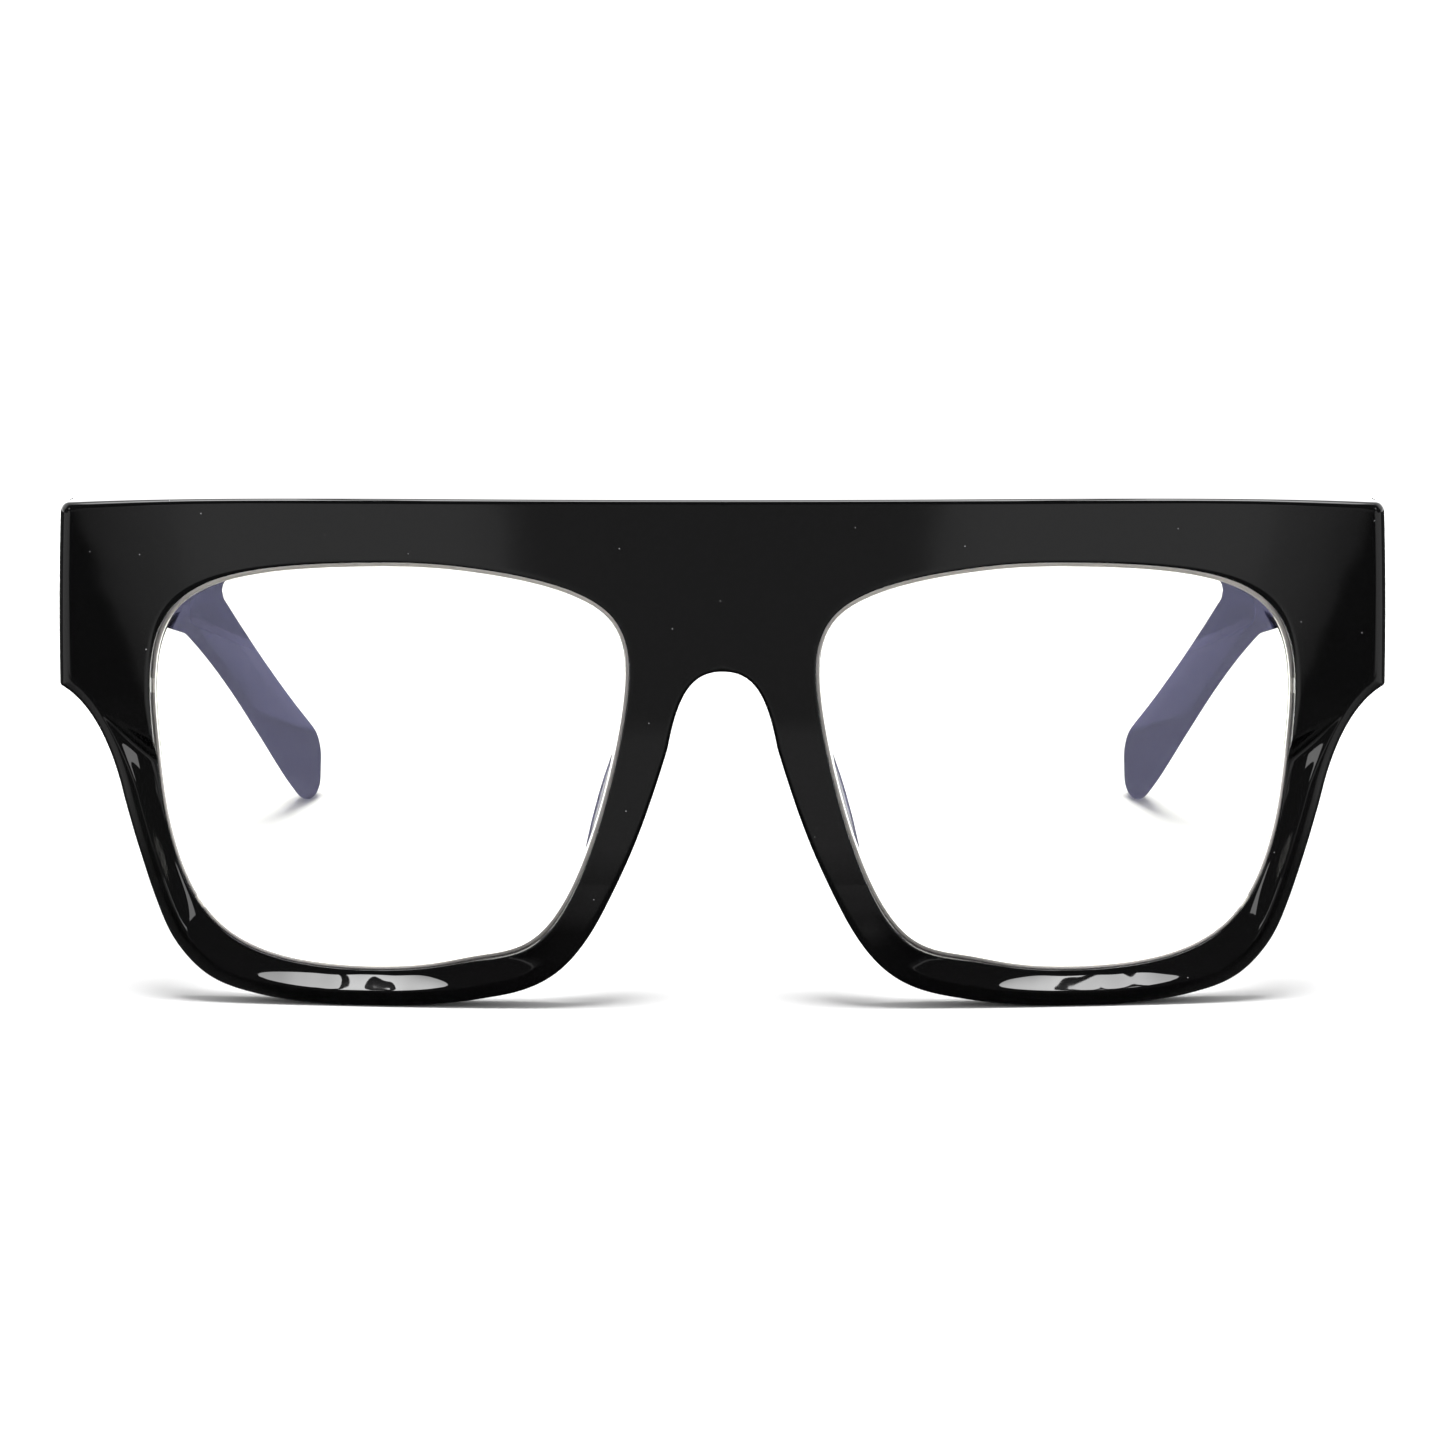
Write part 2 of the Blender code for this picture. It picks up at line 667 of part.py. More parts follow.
def make_leaf_screw(name, place, inwards, host, parent):
    """A small screw through a leaf. place is on the leaf's outer face; the host gets a blind hole for its shank."""
    place, inwards = Vector(place), Vector(inwards)
    length = LEAF_THICKNESS + CLEARANCE + LEAF_SCREW_DEPTH
    head_start = place - inwards * (CLEARANCE + SCREW_HEAD_HEIGHT)
    head_end = place - inwards * CLEARANCE
    screw = make_object(name, cylinder(head_start, head_end, LEAF_SCREW_HEAD_RADIUS, 12), hinge_metal(name), parent)
    shank_shape = cylinder(head_end - inwards * SCREW_HEAD_HEIGHT / 2, place + inwards * length, LEAF_SCREW_RADIUS, 12)
    add_boolean(screw, make_cutter(f"{name}_shank", shank_shape, parent), "UNION")
    surface = place + inwards * LEAF_THICKNESS
    hole_end = place + inwards * (length + CLEARANCE)
    hole_shape = cylinder(surface, hole_end, LEAF_SCREW_RADIUS + CLEARANCE, 12)
    add_boolean(host, make_cutter(f"{name}_hole", hole_shape, parent), "DIFFERENCE")


def make_hinge(word, side, front, temple, pivot):
    plate_y = END_PIECE_BACK + CLEARANCE
    low, high = HINGE_Z - LEAF_HEIGHT / 2, HINGE_Z + LEAF_HEIGHT / 2
    outer, inner = sorted((side * PIVOT_X, side * (PIVOT_X - FRONT_LEAF_LENGTH)))
    screw_x = side * (PIVOT_X - FRONT_LEAF_LENGTH + FRONT_SCREW_SETBACK)
    screw_heights = (HINGE_Z - FRONT_SCREW_SPACING / 2, HINGE_Z + FRONT_SCREW_SPACING / 2)
    front_screws = [((screw_x, plate_y + LEAF_THICKNESS, z), (0, -1, 0)) for z in screw_heights]
    plate = box((outer, plate_y, low), (inner, plate_y + LEAF_THICKNESS, high))
    name = f"front_hinge_leaf_{word}"
    leaf = make_object(name, plate, hinge_metal(name))
    finish_leaf(leaf, side, FRONT_KNUCKLES, front_screws, None)
    for number, (place, inwards) in enumerate(front_screws):
        make_leaf_screw(f"leaf_screw_front_{word}_{number + 1}", place, inwards, front, None)

    face = TEMPLE_INNER_X - CLEARANCE
    sides = sorted((side * face, side * (face - LEAF_THICKNESS)))
    screw_face = side * (face - LEAF_THICKNESS)
    temple_screws = [((screw_face, PIVOT_Y + back, HINGE_Z), (side, 0, 0)) for back in TEMPLE_SCREW_PLACES]
    plate = box((sides[0], PIVOT_Y, low), (sides[1], PIVOT_Y + TEMPLE_LEAF_LENGTH, high))
    name = f"temple_hinge_leaf_{word}"
    leaf = make_object(name, plate, hinge_metal(name), pivot)
    finish_leaf(leaf, side, TEMPLE_KNUCKLES, temple_screws, pivot)
    for number, (place, inwards) in enumerate(temple_screws):
        make_leaf_screw(f"leaf_screw_temple_{word}_{number + 1}", place, inwards, temple, pivot)


def make_hinge_screw(word, side):
    x, y = side * PIVOT_X, PIVOT_Y
    bottom, top = HINGE_Z - HINGE_HEIGHT / 2, HINGE_Z + HINGE_HEIGHT / 2 + CLEARANCE
    name = f"hinge_screw_{word}"
    head_shape = cylinder((x, y, top), (x, y, top + SCREW_HEAD_HEIGHT), KNUCKLE_RADIUS - 0.1, 20)
    screw = make_object(name, head_shape, hinge_metal(name))
    shank_shape = cylinder((x, y, bottom), (x, y, top + SCREW_HEAD_HEIGHT / 2), HINGE_SCREW_RADIUS, 16)
    add_boolean(screw, make_cutter(f"{name}_shank", shank_shape), "UNION")


def main():
    clear_scene()
    make_material("cutter", (0.8, 0.2, 0.2), 0.5)
    front = make_front(black_acetate("front_frame"))
    for word, side in (("left", 1), ("right", -1)):
        make_lens(f"lens_{word}", side, clear_lens(f"lens_{word}"))
        make_pad(f"nose_pad_{word}", side, black_acetate(f"nose_pad_{word}"))
        pivot = make_empty(f"temple_pivot_{word}", (side * PIVOT_X, PIVOT_Y, HINGE_Z))
        temple = make_temple(f"temple_{word}", side, black_acetate(f"temple_{word}"), pivot)
        wire_shape = core_tube(side, CORE_WIRE_RADIUS, 0.5, 0.0)
        make_object(f"core_wire_{word}", wire_shape, hinge_metal(f"core_wire_{word}"), pivot)
        make_hinge(word, side, front, temple, pivot)
        make_hinge_screw(word, side)


main()
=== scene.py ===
"""Looks of the flat-topped black acetate glasses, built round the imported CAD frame.

Sizes are in millimetres, with Y measured back from the middle of the front, until make_piece moves them
into place and turns them into metres. X runs across the front with the wearer's left at +X, Y runs back
along the temples and Z is up. Each half of the front is a ring of stations round its lens opening.
The stage is in metres.
"""

import math

import bmesh
import bpy
import numpy as np
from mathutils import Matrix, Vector


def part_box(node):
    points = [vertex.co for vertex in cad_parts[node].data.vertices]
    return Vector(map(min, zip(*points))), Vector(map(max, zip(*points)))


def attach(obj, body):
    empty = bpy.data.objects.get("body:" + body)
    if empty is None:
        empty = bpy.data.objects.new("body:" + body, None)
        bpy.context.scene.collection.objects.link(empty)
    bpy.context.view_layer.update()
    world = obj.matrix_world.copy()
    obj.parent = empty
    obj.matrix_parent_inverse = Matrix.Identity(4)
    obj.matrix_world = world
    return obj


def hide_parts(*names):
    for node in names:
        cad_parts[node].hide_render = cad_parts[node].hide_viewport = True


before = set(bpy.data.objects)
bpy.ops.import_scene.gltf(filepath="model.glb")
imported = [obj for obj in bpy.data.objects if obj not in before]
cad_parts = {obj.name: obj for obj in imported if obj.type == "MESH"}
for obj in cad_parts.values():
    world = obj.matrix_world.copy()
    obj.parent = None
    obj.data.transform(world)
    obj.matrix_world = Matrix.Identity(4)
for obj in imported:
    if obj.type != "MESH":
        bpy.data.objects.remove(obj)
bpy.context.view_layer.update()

MILLIMETRE = 0.001
FRONT_LOW, FRONT_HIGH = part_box("front_frame")
FRONT_Y = FRONT_LOW.y / MILLIMETRE

# Front
LENS_WIDTH = 52.8
LENS_HEIGHT = 45.6
BRIDGE_WIDTH = 20.4
RIM_BOTTOM = 3.8
BROW_FALL = 1.0
END_PIECE_HEIGHT = 21.4
END_PIECE_BOW = 0.45
TOP_CORNER = 1.1
LOW_CORNER = 0.5
BRIDGE_HEIGHT = 18.8
WRAP_RADIUS = 420.0
BROW_THICKNESS = 6.0
RIM_THICKNESS = 4.4
BACK_EDGE_RADIUS = 0.6
RIDGE_INSET = 1.75
EDGE_BAND = 1.3
LIP_RADIUS = 0.16
THICKENING_HEIGHTS = (8.0, 34.0)
HINGE_FLAT_EDGE = (56.3, 58.9)
HALF_WIDTH = FRONT_HIGH.x / MILLIMETRE
TOP = FRONT_HIGH.z / MILLIMETRE
END_PIECE_BACK = (FRONT_HIGH.y - FRONT_LOW.y) / MILLIMETRE
END_PIECE_BOTTOM = TOP - END_PIECE_HEIGHT
OPENING_CENTRE = np.array(((BRIDGE_WIDTH + LENS_WIDTH) / 2, RIM_BOTTOM + LENS_HEIGHT / 2))

# Scoop of the lower rim: its crease below the end piece, which slants towards the lens, how it curves
# across the rim, and the angles between which it fades in on the nose side.
DISH_DEPTH = 1.85
DISH_CREASE_ANGLE = 8.4
DISH_CREASE_SLANT = 2.3
DISH_CREASE_WIDTH = 6.0
DISH_CURVE = 1.3
DISH_RIDGE_SOFTNESS = 0.003
DISH_NOSE_ANGLES = (-136.0, -92.0)

# Radius of the front's rounded outer edge at places along its outline, by opening angle.
EDGE_RADII = (
    (143.0, 0.42), (60.0, 0.46), (42.0, 0.7), (36.0, 1.25), (0.0, 1.15), (-60.0, 1.15), (-120.0, 0.9),
    (-160.0, 0.45), (-217.0, 0.4),
)

# Lens and its groove
LENS_THICKNESS = 1.8
LENS_BULGE = 1.5
LENS_DEPTH = 3.0
GROOVE_HALF_WIDTH = 0.9
GROOVE_DEPTH = 0.9
REAR_LIP = 0.55

# Temple
TEMPLE_THICKNESS = 4.6
TEMPLE_TIP_THICKNESS = 3.6
TEMPLE_DROP = 10.6
TEMPLE_LOW, TEMPLE_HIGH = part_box("temple_left")
TEMPLE_INNER_X = TEMPLE_HIGH.x / MILLIMETRE - TEMPLE_THICKNESS
TEMPLE_START = TEMPLE_LOW.y / MILLIMETRE - FRONT_Y
TEMPLE_REACH = 132.9
TEMPLE_HINGE_Z = TOP - TEMPLE_DROP
TEMPLE_CORNER = 0.6
TEMPLE_TIP_CORNER = (1.7, 3.4)
TEMPLE_END_RADIUS = 0.35
TEMPLE_RINGS = 120
TIP_RINGS = 18

# Nose pads
PAD_TOP = 33.0
PAD_BOTTOM = 12.0
PAD_REACH = 5.2
PAD_THICKNESS = 3.0
PAD_LEAN = 0.35
PAD_SINK = 0.25
PAD_OVERLAP = 0.2
PAD_RINGS = 44

# Opening: the control polygon of a closed cubic B-spline, in halves of the lens size from its centre.
OPENING_POLYGON = (
    (-0.84, -0.48), (-1.02, 0.36), (-1.00, 0.85), (-0.32, 1.00), (0.03, 1.01), (0.76, 0.97), (1.03, 0.65),
    (0.98, 0.01), (0.95, -0.34), (0.81, -0.79), (0.46, -1.00), (-0.13, -1.01), (-0.35, -0.93), (-0.62, -0.91),
)

# Width of the rim at angles round the lens centre, from the temple side down and round to the nose.
RIM_WIDTHS = (
    (-6, 4.2), (-14, 3.8), (-23, 3.62), (-31, 3.86), (-40, 4.6), (-48, 4.95), (-58, 4.4), (-70, 4.0),
    (-85, 3.85), (-99, 3.92), (-112, 4.24), (-126, 4.1), (-139, 3.88), (-150, 3.9), (-165, 4.35),
    (-180, 4.85), (-188, 5.2),
)

# Sections of the outline: how many stations each has, and the opening angle that each one ends at.
OPENING_START_ANGLE = 143.0
RIM_START_ANGLE = -6.0
RIM_END_ANGLE = -188.0
OUTLINE_END_ANGLE = -217.0
OUTLINE_SECTIONS = (
    ("brow", 110, 40.0),
    ("side", 54, 14.0),
    ("step", 36, RIM_START_ANGLE),
    ("rim", 240, RIM_END_ANGLE),
    ("arch", 44, -206.0),
    ("middle", 30, OUTLINE_END_ANGLE),
)

# Shares of the end piece's side at which its top corner ends and its lower corner starts.
SIDE_CORNER_END = 0.3
SIDE_LOW_START = 0.86

# Temple stations: share of the reach, share of the fall from the hinge, height across its run, and how
# far the inner face has moved in.
TEMPLE_STATIONS = (
    (0.00, 0.00, 17.0, 0.0),
    (0.06, 0.01, 15.6, 0.0),
    (0.20, 0.05, 11.9, 0.0),
    (0.35, 0.11, 9.4, 0.1),
    (0.49, 0.20, 8.4, 0.5),
    (0.60, 0.33, 8.2, 1.6),
    (0.70, 0.49, 8.6, 3.4),
    (0.80, 0.67, 9.6, 5.6),
    (0.90, 0.85, 10.6, 7.9),
    (1.00, 1.00, 10.8, 9.8),
)
TIP_START = 0.955

# The floor as gloss sees it is a painted reflection: for gloss rays it glows with a brightness of its own.
# A place's fan is how far aside it lies for each metre ahead of a line FAN_BACK behind the front. The tables
# hold (fan, brightness) close to the glasses and further ahead, and the first turns into the second between
# the two distances of FLOOR_EDGES. A painted shadow of the glasses darkens it within UNDER_GLASSES, which is
# a distance aside and one ahead, and it has one brightness behind the front.
FAN_BACK = 0.060
FAN_SPAN = 1.6
NEAR_FLOOR = (
    (0.0, 0.40), (0.15, 0.38), (0.35, 0.12), (0.66, 0.07), (0.78, 0.08), (0.92, 0.55), (1.1, 0.75),
    (1.6, 0.8),
)
FAR_FLOOR = (
    (0.0, 0.25), (0.15, 0.26), (0.20, 0.60), (0.27, 0.70), (0.44, 0.70), (0.51, 0.52), (0.59, 0.22),
    (0.605, 0.05), (0.665, 0.05), (0.72, 0.45), (0.8, 0.70), (1.6, 0.8),
)
FLOOR_EDGES = (0.195, 0.215)
FLOOR_BEHIND = 0.10
BEHIND_EDGE = 0.03
UNDER_GLASSES = (0.10, 0.05)
UNDER_EDGE = 0.05
UNDER_SHADE = 0.15
FLOOR_REACH = 6.0

# What gloss sees of the walls and ceiling, by angle from the horizon ahead up and over to the one behind.
SKY_IN_GLOSS = ((0.0, 0.03), (0.36, 0.03), (0.44, 0.08), (0.55, 0.42), (0.85, 0.6), (0.92, 1.0), (1.0, 1.0))
SKY_STRENGTH = 3.4

# Light: the sun's tilt turns the shadows a little to the back. The cards and side panels only show in gloss.
# Each overhead card has its two places aside and the glow at each.
SUN_STRENGTH = 4.1
SUN_SPREAD = 32.0
SUN_TILT = 4.0
WORLD_LIGHT = 0.55
WORLD_WHITE = 1.6
CARDS = ((0.0, 0.162, 7.0, 12.0), (0.188, 0.400, 14.0, 4.0))
CARD_FRONT = -0.30
CARD_BACK = 0.12
CARD_HEIGHT = 0.75
PANEL_PLACE = (1.05, -0.94, 0.53)
PANEL_SIZE = (0.30, 0.40)
PANEL_GLOW = 3.2

# Camera: ahead of the front, and turned up from looking straight down.
CAMERA_DISTANCE = 0.5
CAMERA_HEIGHT = 0.1083
CAMERA_TURN = 81.332
CAMERA_LENS = 115.55
CAMERA_SENSOR = 36.0


# ---------------------------------------------------------------- curves


def blend(low, high, value):
    """0 below low, 1 above high and a smooth ramp between them."""
    share = np.clip((value - low) / (high - low), 0.0, 1.0)
    return share * share * (3.0 - 2.0 * share)


def spline_value(table, position):
    """Reads a table of (position, value, ...) rows as smooth curves and returns the list of values."""
    rows = sorted(table)
    if position <= rows[0][0]:
        return list(rows[0][1:])
    if position >= rows[-1][0]:
        return list(rows[-1][1:])
    k = max(i for i in range(len(rows) - 1) if rows[i][0] <= position)
    start, end = rows[k], rows[k + 1]
    before, after = rows[max(k - 1, 0)], rows[min(k + 2, len(rows) - 1)]
    span = end[0] - start[0]
    t = (position - start[0]) / span
    values = []
    for i in range(1, len(start)):
        slope_in = (end[i] - before[i]) / (end[0] - before[0]) * span
        slope_out = (after[i] - start[i]) / (after[0] - start[0]) * span
        values.append(
            (2 * t**3 - 3 * t**2 + 1) * start[i]
            + (t**3 - 2 * t**2 + t) * slope_in
            + (3 * t**2 - 2 * t**3) * end[i]
            + (t**3 - t**2) * slope_out
        )
    return values


def make_opening_table():
    """Columns of angle in degrees, x and z round the opening, from a B-spline fitted to its box."""
    polygon = np.array(OPENING_POLYGON)
    t = np.linspace(0.0, 1.0, 80, endpoint=False)[:, None]
    spans = []
    for i in range(len(polygon)):
        a, b, c, d = (polygon[(i + k - 1) % len(polygon)] for k in range(4))
        middle = (3 * t**3 - 6 * t**2 + 4) * b + (-3 * t**3 + 3 * t**2 + 3 * t + 1) * c
        spans.append(((1 - t) ** 3 * a + middle + t**3 * d) / 6)
    curve = np.concatenate(spans)
    low, high = curve.min(0), curve.max(0)
    curve = (2 * (curve - low) / (high - low) - 1) * (LENS_WIDTH / 2, LENS_HEIGHT / 2)
    angle = np.degrees(np.arctan2(curve[:, 1], curve[:, 0]))
    order = np.argsort(angle)
    angle = angle[order]
    curve = curve[order] + OPENING_CENTRE
    return np.concatenate([angle - 360, angle, angle + 360]), np.concatenate([curve] * 3)


OPENING_ANGLES, OPENING_PLACES = make_opening_table()


def opening_point(angle):
    """The point of the opening's edge at this angle round the lens centre."""
    return np.array([np.interp(angle, OPENING_ANGLES, OPENING_PLACES[:, axis]) for axis in (0, 1)])


def opening_normal(angle):
    """Points away from the lens, square to the opening's edge."""
    along = opening_point(angle + 1.5) - opening_point(angle - 1.5)
    return np.array((along[1], -along[0])) / np.hypot(*along)


def bezier(a, b, c, d, t):
    """A cubic curve from a to d that b and c pull on."""
    return a * (1 - t) ** 3 + b * 3 * t * (1 - t) ** 2 + c * 3 * t**2 * (1 - t) + d * t**3


def rim_point(angle):
    """The outer edge of the rim, which doesn't go below the surface it stands on."""
    place = opening_point(angle) + opening_normal(angle) * spline_value(RIM_WIDTHS, angle)[0]
    return np.array((place[0], max(place[1], 0.0)))


def brow_point(share):
    """Along the top of the front, from its middle out to the corner."""
    x = (HALF_WIDTH - END_PIECE_BOW - TOP_CORNER) * share
    return np.array((x, TOP - BROW_FALL * (x / HALF_WIDTH) ** 5))


def side_point(share):
    """Round the top corner of the end piece, down its side and round its lower corner."""
    corner = brow_point(1.0)
    low = np.array((HALF_WIDTH, END_PIECE_BOTTOM + LOW_CORNER))
    if share < SIDE_CORNER_END:
        turn = math.radians(90 * (1 - share / SIDE_CORNER_END))
        return corner + np.array((math.cos(turn), math.sin(turn) - 1)) * TOP_CORNER
    if share > SIDE_LOW_START:
        turn = math.radians(60 * (share - SIDE_LOW_START) / (1 - SIDE_LOW_START))
        return low + np.array((math.cos(turn) - 1, -math.sin(turn))) * LOW_CORNER
    t = (share - SIDE_CORNER_END) / (SIDE_LOW_START - SIDE_CORNER_END)
    start = corner + np.array((TOP_CORNER, -TOP_CORNER))
    return np.array((low[0] + (start[0] - low[0]) * (1 - t) ** 2, start[1] + (low[1] - start[1]) * t))


def step_point(share):
    """The hollow curve from the end piece down into the rim."""
    start = side_point(1.0)
    end = rim_point(RIM_START_ANGLE)
    length = np.hypot(*(start - end))
    lead = np.array((-0.87, -0.5)) * length * 0.27
    tail = np.array((0.22, 0.97)) * length * 0.43
    return bezier(start, start + lead, end + tail, end, share)


def arch_point(share):
    """From the nose side of the rim up and over to the middle of the bridge."""
    start = rim_point(RIM_END_ANGLE)
    end = np.array((0.0, TOP - BRIDGE_HEIGHT))
    lead = np.array((start[0] * 0.82, start[1] + (end[1] - start[1]) * 0.68))
    tail = np.array((start[0] * 0.58, end[1]))
    return bezier(start, lead, tail, end, share)


def rim_section_point(share):
    """Round the rim from the end piece to the nose."""
    return rim_point(RIM_START_ANGLE + (RIM_END_ANGLE - RIM_START_ANGLE) * share)


def middle_point(share):
    """Up the middle of the bridge, closer together where its two edges are rounded."""
    eased = 0.5 - 0.5 * math.cos(math.pi * share)
    return np.array((0.0, TOP - BRIDGE_HEIGHT * (1 - eased)))


SECTION_POINTS = {
    "brow": brow_point,
    "side": side_point,
    "step": step_point,
    "rim": rim_section_point,
    "arch": arch_point,
    "middle": middle_point,
}


def make_stations():
    """Opening angle and outline point of each station round one half of the front."""
    angles = []
    places = []
    start = OPENING_START_ANGLE
    for name, count, end in OUTLINE_SECTIONS:
        for i in range(count):
            share = i / count
            angles.append(start + (end - start) * share)
            places.append(SECTION_POINTS[name](share))
        start = end
    return np.array(angles), np.array(places)


STATION_ANGLES, STATION_PLACES = make_stations()
OUTLINE_COUNT = len(STATION_ANGLES) - OUTLINE_SECTIONS[-1][1]
SILHOUETTE = np.concatenate([STATION_PLACES[:OUTLINE_COUNT], [middle_point(0.0)]])
SILHOUETTE_ANGLES = np.append(STATION_ANGLES[:OUTLINE_COUNT], OUTLINE_END_ANGLE)
EDGE_ANGLES, EDGE_SIZES = np.array(EDGE_RADII).T
SILHOUETTE_RADII = np.interp(-SILHOUETTE_ANGLES, -EDGE_ANGLES, EDGE_SIZES)


def to_outline(places):
    """Distance from each place to the outline, and the edge radius at the nearest point of the outline."""
    start = SILHOUETTE[:-1]
    along = SILHOUETTE[1:] - start
    offset = places[:, None] - start
    share = np.clip((offset * along).sum(2) / (along * along).sum(1), 0.0, 1.0)
    distance = np.hypot(*(offset - along * share[..., None]).transpose(2, 0, 1))
    nearest = distance.argmin(1)
    row = np.arange(len(places))
    share = share[row, nearest]
    radius = SILHOUETTE_RADII[nearest] * (1 - share) + SILHOUETTE_RADII[nearest + 1] * share
    return distance[row, nearest], radius


def wrap(x):
    """How far the curve of the front has gone back at x."""
    return x * x / (2 * WRAP_RADIUS)


def rounding(distance, radius):
    """How far a rounded edge has fallen away at this distance in from it."""
    inside = np.clip(radius - distance, 0.0, radius)
    return radius - np.sqrt(radius**2 - inside**2)


def dish_depth(angle, to_lens):
    """Depth of the scooped lower rim at to_lens, which runs from 0 at its ridge to 1 at the lens."""
    crease = DISH_CREASE_ANGLE - DISH_CREASE_SLANT * to_lens
    start = np.clip((crease - angle) / DISH_CREASE_WIDTH, 0.0, 1.0)
    across = 1 - (1 - to_lens) ** DISH_CURVE
    return DISH_DEPTH * across * (1 - (1 - start) ** 2) * blend(*DISH_NOSE_ANGLES, angle)


def back_level(places):
    """The back face: it follows the front, and is flat where the end piece carries the hinge."""
    x, z = places[:, 0], places[:, 1]
    curved = wrap(x) + RIM_THICKNESS + (BROW_THICKNESS - RIM_THICKNESS) * blend(*THICKENING_HEIGHTS, z)
    flat = blend(*HINGE_FLAT_EDGE, x) * blend(END_PIECE_BOTTOM - 1.5, END_PIECE_BOTTOM + 1.0, z)
    return curved + (END_PIECE_BACK - curved) * flat


# ---------------------------------------------------------------- meshes


def make_piece(name, points, faces, material, body, replaced, smooth_angle=40.0):
    """Turns points in millimetres into a piece in place, on its body, standing for its CAD nodes."""
    mesh = bpy.data.meshes.new(name)
    placed = (np.asarray(points, float) + (0.0, FRONT_Y, 0.0)) * MILLIMETRE
    mesh.from_pydata(placed.tolist(), [], [list(map(int, face)) for face in faces])
    shape = bmesh.new()
    shape.from_mesh(mesh)
    bmesh.ops.remove_doubles(shape, verts=shape.verts, dist=1e-7)
    bmesh.ops.recalc_face_normals(shape, faces=shape.faces)
    shape.to_mesh(mesh)
    shape.free()
    mesh.shade_smooth()
    mesh.set_sharp_from_angle(angle=math.radians(smooth_angle))
    mesh.materials.append(material)
    piece = bpy.data.objects.new(name, mesh)
    bpy.context.scene.collection.objects.link(piece)
    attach(piece, body)
    if replaced:
        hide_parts(*replaced)
    return piece


def grid_faces(rows, columns, closed_rows=False, closed_columns=True):
    """Quads of a grid of points, as an array of corners."""
    row_count = rows if closed_rows else rows - 1
    column_count = columns if closed_columns else columns - 1
    i, j = np.meshgrid(np.arange(row_count), np.arange(column_count), indexing="ij")
    following, beside = (i + 1) % rows, (j + 1) % columns
    corners = (i * columns + j, i * columns + beside, following * columns + beside, following * columns + j)
    return np.stack(corners, axis=-1).reshape(-1, 4)


def loft(rings):
    """Points and faces of a skin over rings with the same number of points, closed by flat caps."""
    rings = np.asarray(rings, float)
    rows, columns = rings.shape[:2]
    faces = [list(face) for face in grid_faces(rows, columns)]
    faces.append(list(range(columns)))
    faces.append(list(range((rows - 1) * columns, rows * columns)))
    return rings.reshape(-1, 3), faces


def quarter_turns(count):
    """Angles in radians from 0 to a quarter turn."""
    return np.radians(np.linspace(0.0, 90.0, count))


def lip_arc(lip, normal, level, into):
    """The rounded edge of a lip, from its face at this level round into its wall."""
    return [
        (lip + normal * LIP_RADIUS * (1 - math.sin(turn)), level + into * LIP_RADIUS * (1 - math.cos(turn)))
        for turn in quarter_turns(6)
    ]


def front_face(outer, inward, inner_end, angle):
    """Places and levels of the front face, from its outer edge over the ridge and the scoop to the lens."""
    ridge = outer + inward * RIDGE_INSET
    insets = list(EDGE_BAND * (1 - np.cos(quarter_turns(10)))) + [(EDGE_BAND + RIDGE_INSET) / 2]
    steps = list(np.linspace(0.0, 1.0, 20) ** 1.15)
    places = [outer + inward * inset for inset in insets]
    places += [ridge + (inner_end - ridge) * step for step in steps]
    places = np.array(places)
    to_lens = np.array([0.0] * len(insets) + steps)
    eased = np.sqrt(to_lens**2 + DISH_RIDGE_SOFTNESS) - math.sqrt(DISH_RIDGE_SOFTNESS)
    scoop = dish_depth(angle, np.clip(eased, 0.0, 1.0))
    distance, radius = to_outline(places)
    return list(zip(places, wrap(places[:, 0]) + rounding(distance, radius) + scoop))


def back_face(outer, inward, inner_end):
    """Places and levels of the back face, from its outer edge to the rear lip."""
    insets = list(BACK_EDGE_RADIUS * (1 - np.cos(quarter_turns(6)))) + [0.9, 1.4]
    places = [outer + inward * inset for inset in insets]
    start = places[-1]
    places += [start + (inner_end - start) * share for share in np.linspace(0.0, 1.0, 9)[1:]]
    places = np.array(places)
    distance, _ = to_outline(places)
    return list(zip(places, back_level(places) - rounding(distance, BACK_EDGE_RADIUS)))


def front_profile(angle, outer):
    """The closed section of the front at one station, and the index at which its outer wall starts."""
    lip = opening_point(angle)
    normal = opening_normal(angle)
    rear_lip = lip - normal * REAR_LIP
    inward = (lip - outer) / np.hypot(*(lip - outer))
    front = front_face(outer, inward, lip + normal * LIP_RADIUS, angle)[::-1]
    back = back_face(outer, inward, rear_lip + normal * LIP_RADIUS)
    front_arc = lip_arc(lip, normal, front[0][1], 1)
    rear_arc = lip_arc(rear_lip, normal, back[-1][1], -1)
    groove = wrap(lip[0]) + LENS_DEPTH
    walls = [
        (rear_lip, groove + GROOVE_HALF_WIDTH),
        (lip + normal * GROOVE_DEPTH, groove),
        (lip, groove - GROOVE_HALF_WIDTH),
    ]
    points = front_arc[:0:-1] + front + back + rear_arc[1:] + walls
    wall_start = len(front_arc) - 1 + len(front) - 1
    return np.array([(place[0], y, place[1]) for place, y in points]), wall_start


def make_front(material):
    """Both halves of the front, welded down the middle."""
    profiles = []
    for angle, outer in zip(STATION_ANGLES, STATION_PLACES):
        profile, wall_start = front_profile(angle, outer)
        profiles.append(profile)
    profiles = np.array(profiles)
    rows, columns = profiles.shape[:2]
    faces = grid_faces(rows, columns, closed_rows=True)
    flat = profiles.reshape(-1, 3)
    in_wall = faces[:, 0] % columns == wall_start
    in_middle = (np.abs(flat[faces][:, :, 0]) < 1e-6).all(1)
    faces = faces[~(in_wall & in_middle)]
    points = np.concatenate([flat, flat * (-1, 1, 1)])
    faces = np.concatenate([faces, faces[:, ::-1] + len(flat)])
    return make_piece("rim_front", points, faces, material, "front", ["front_frame"])


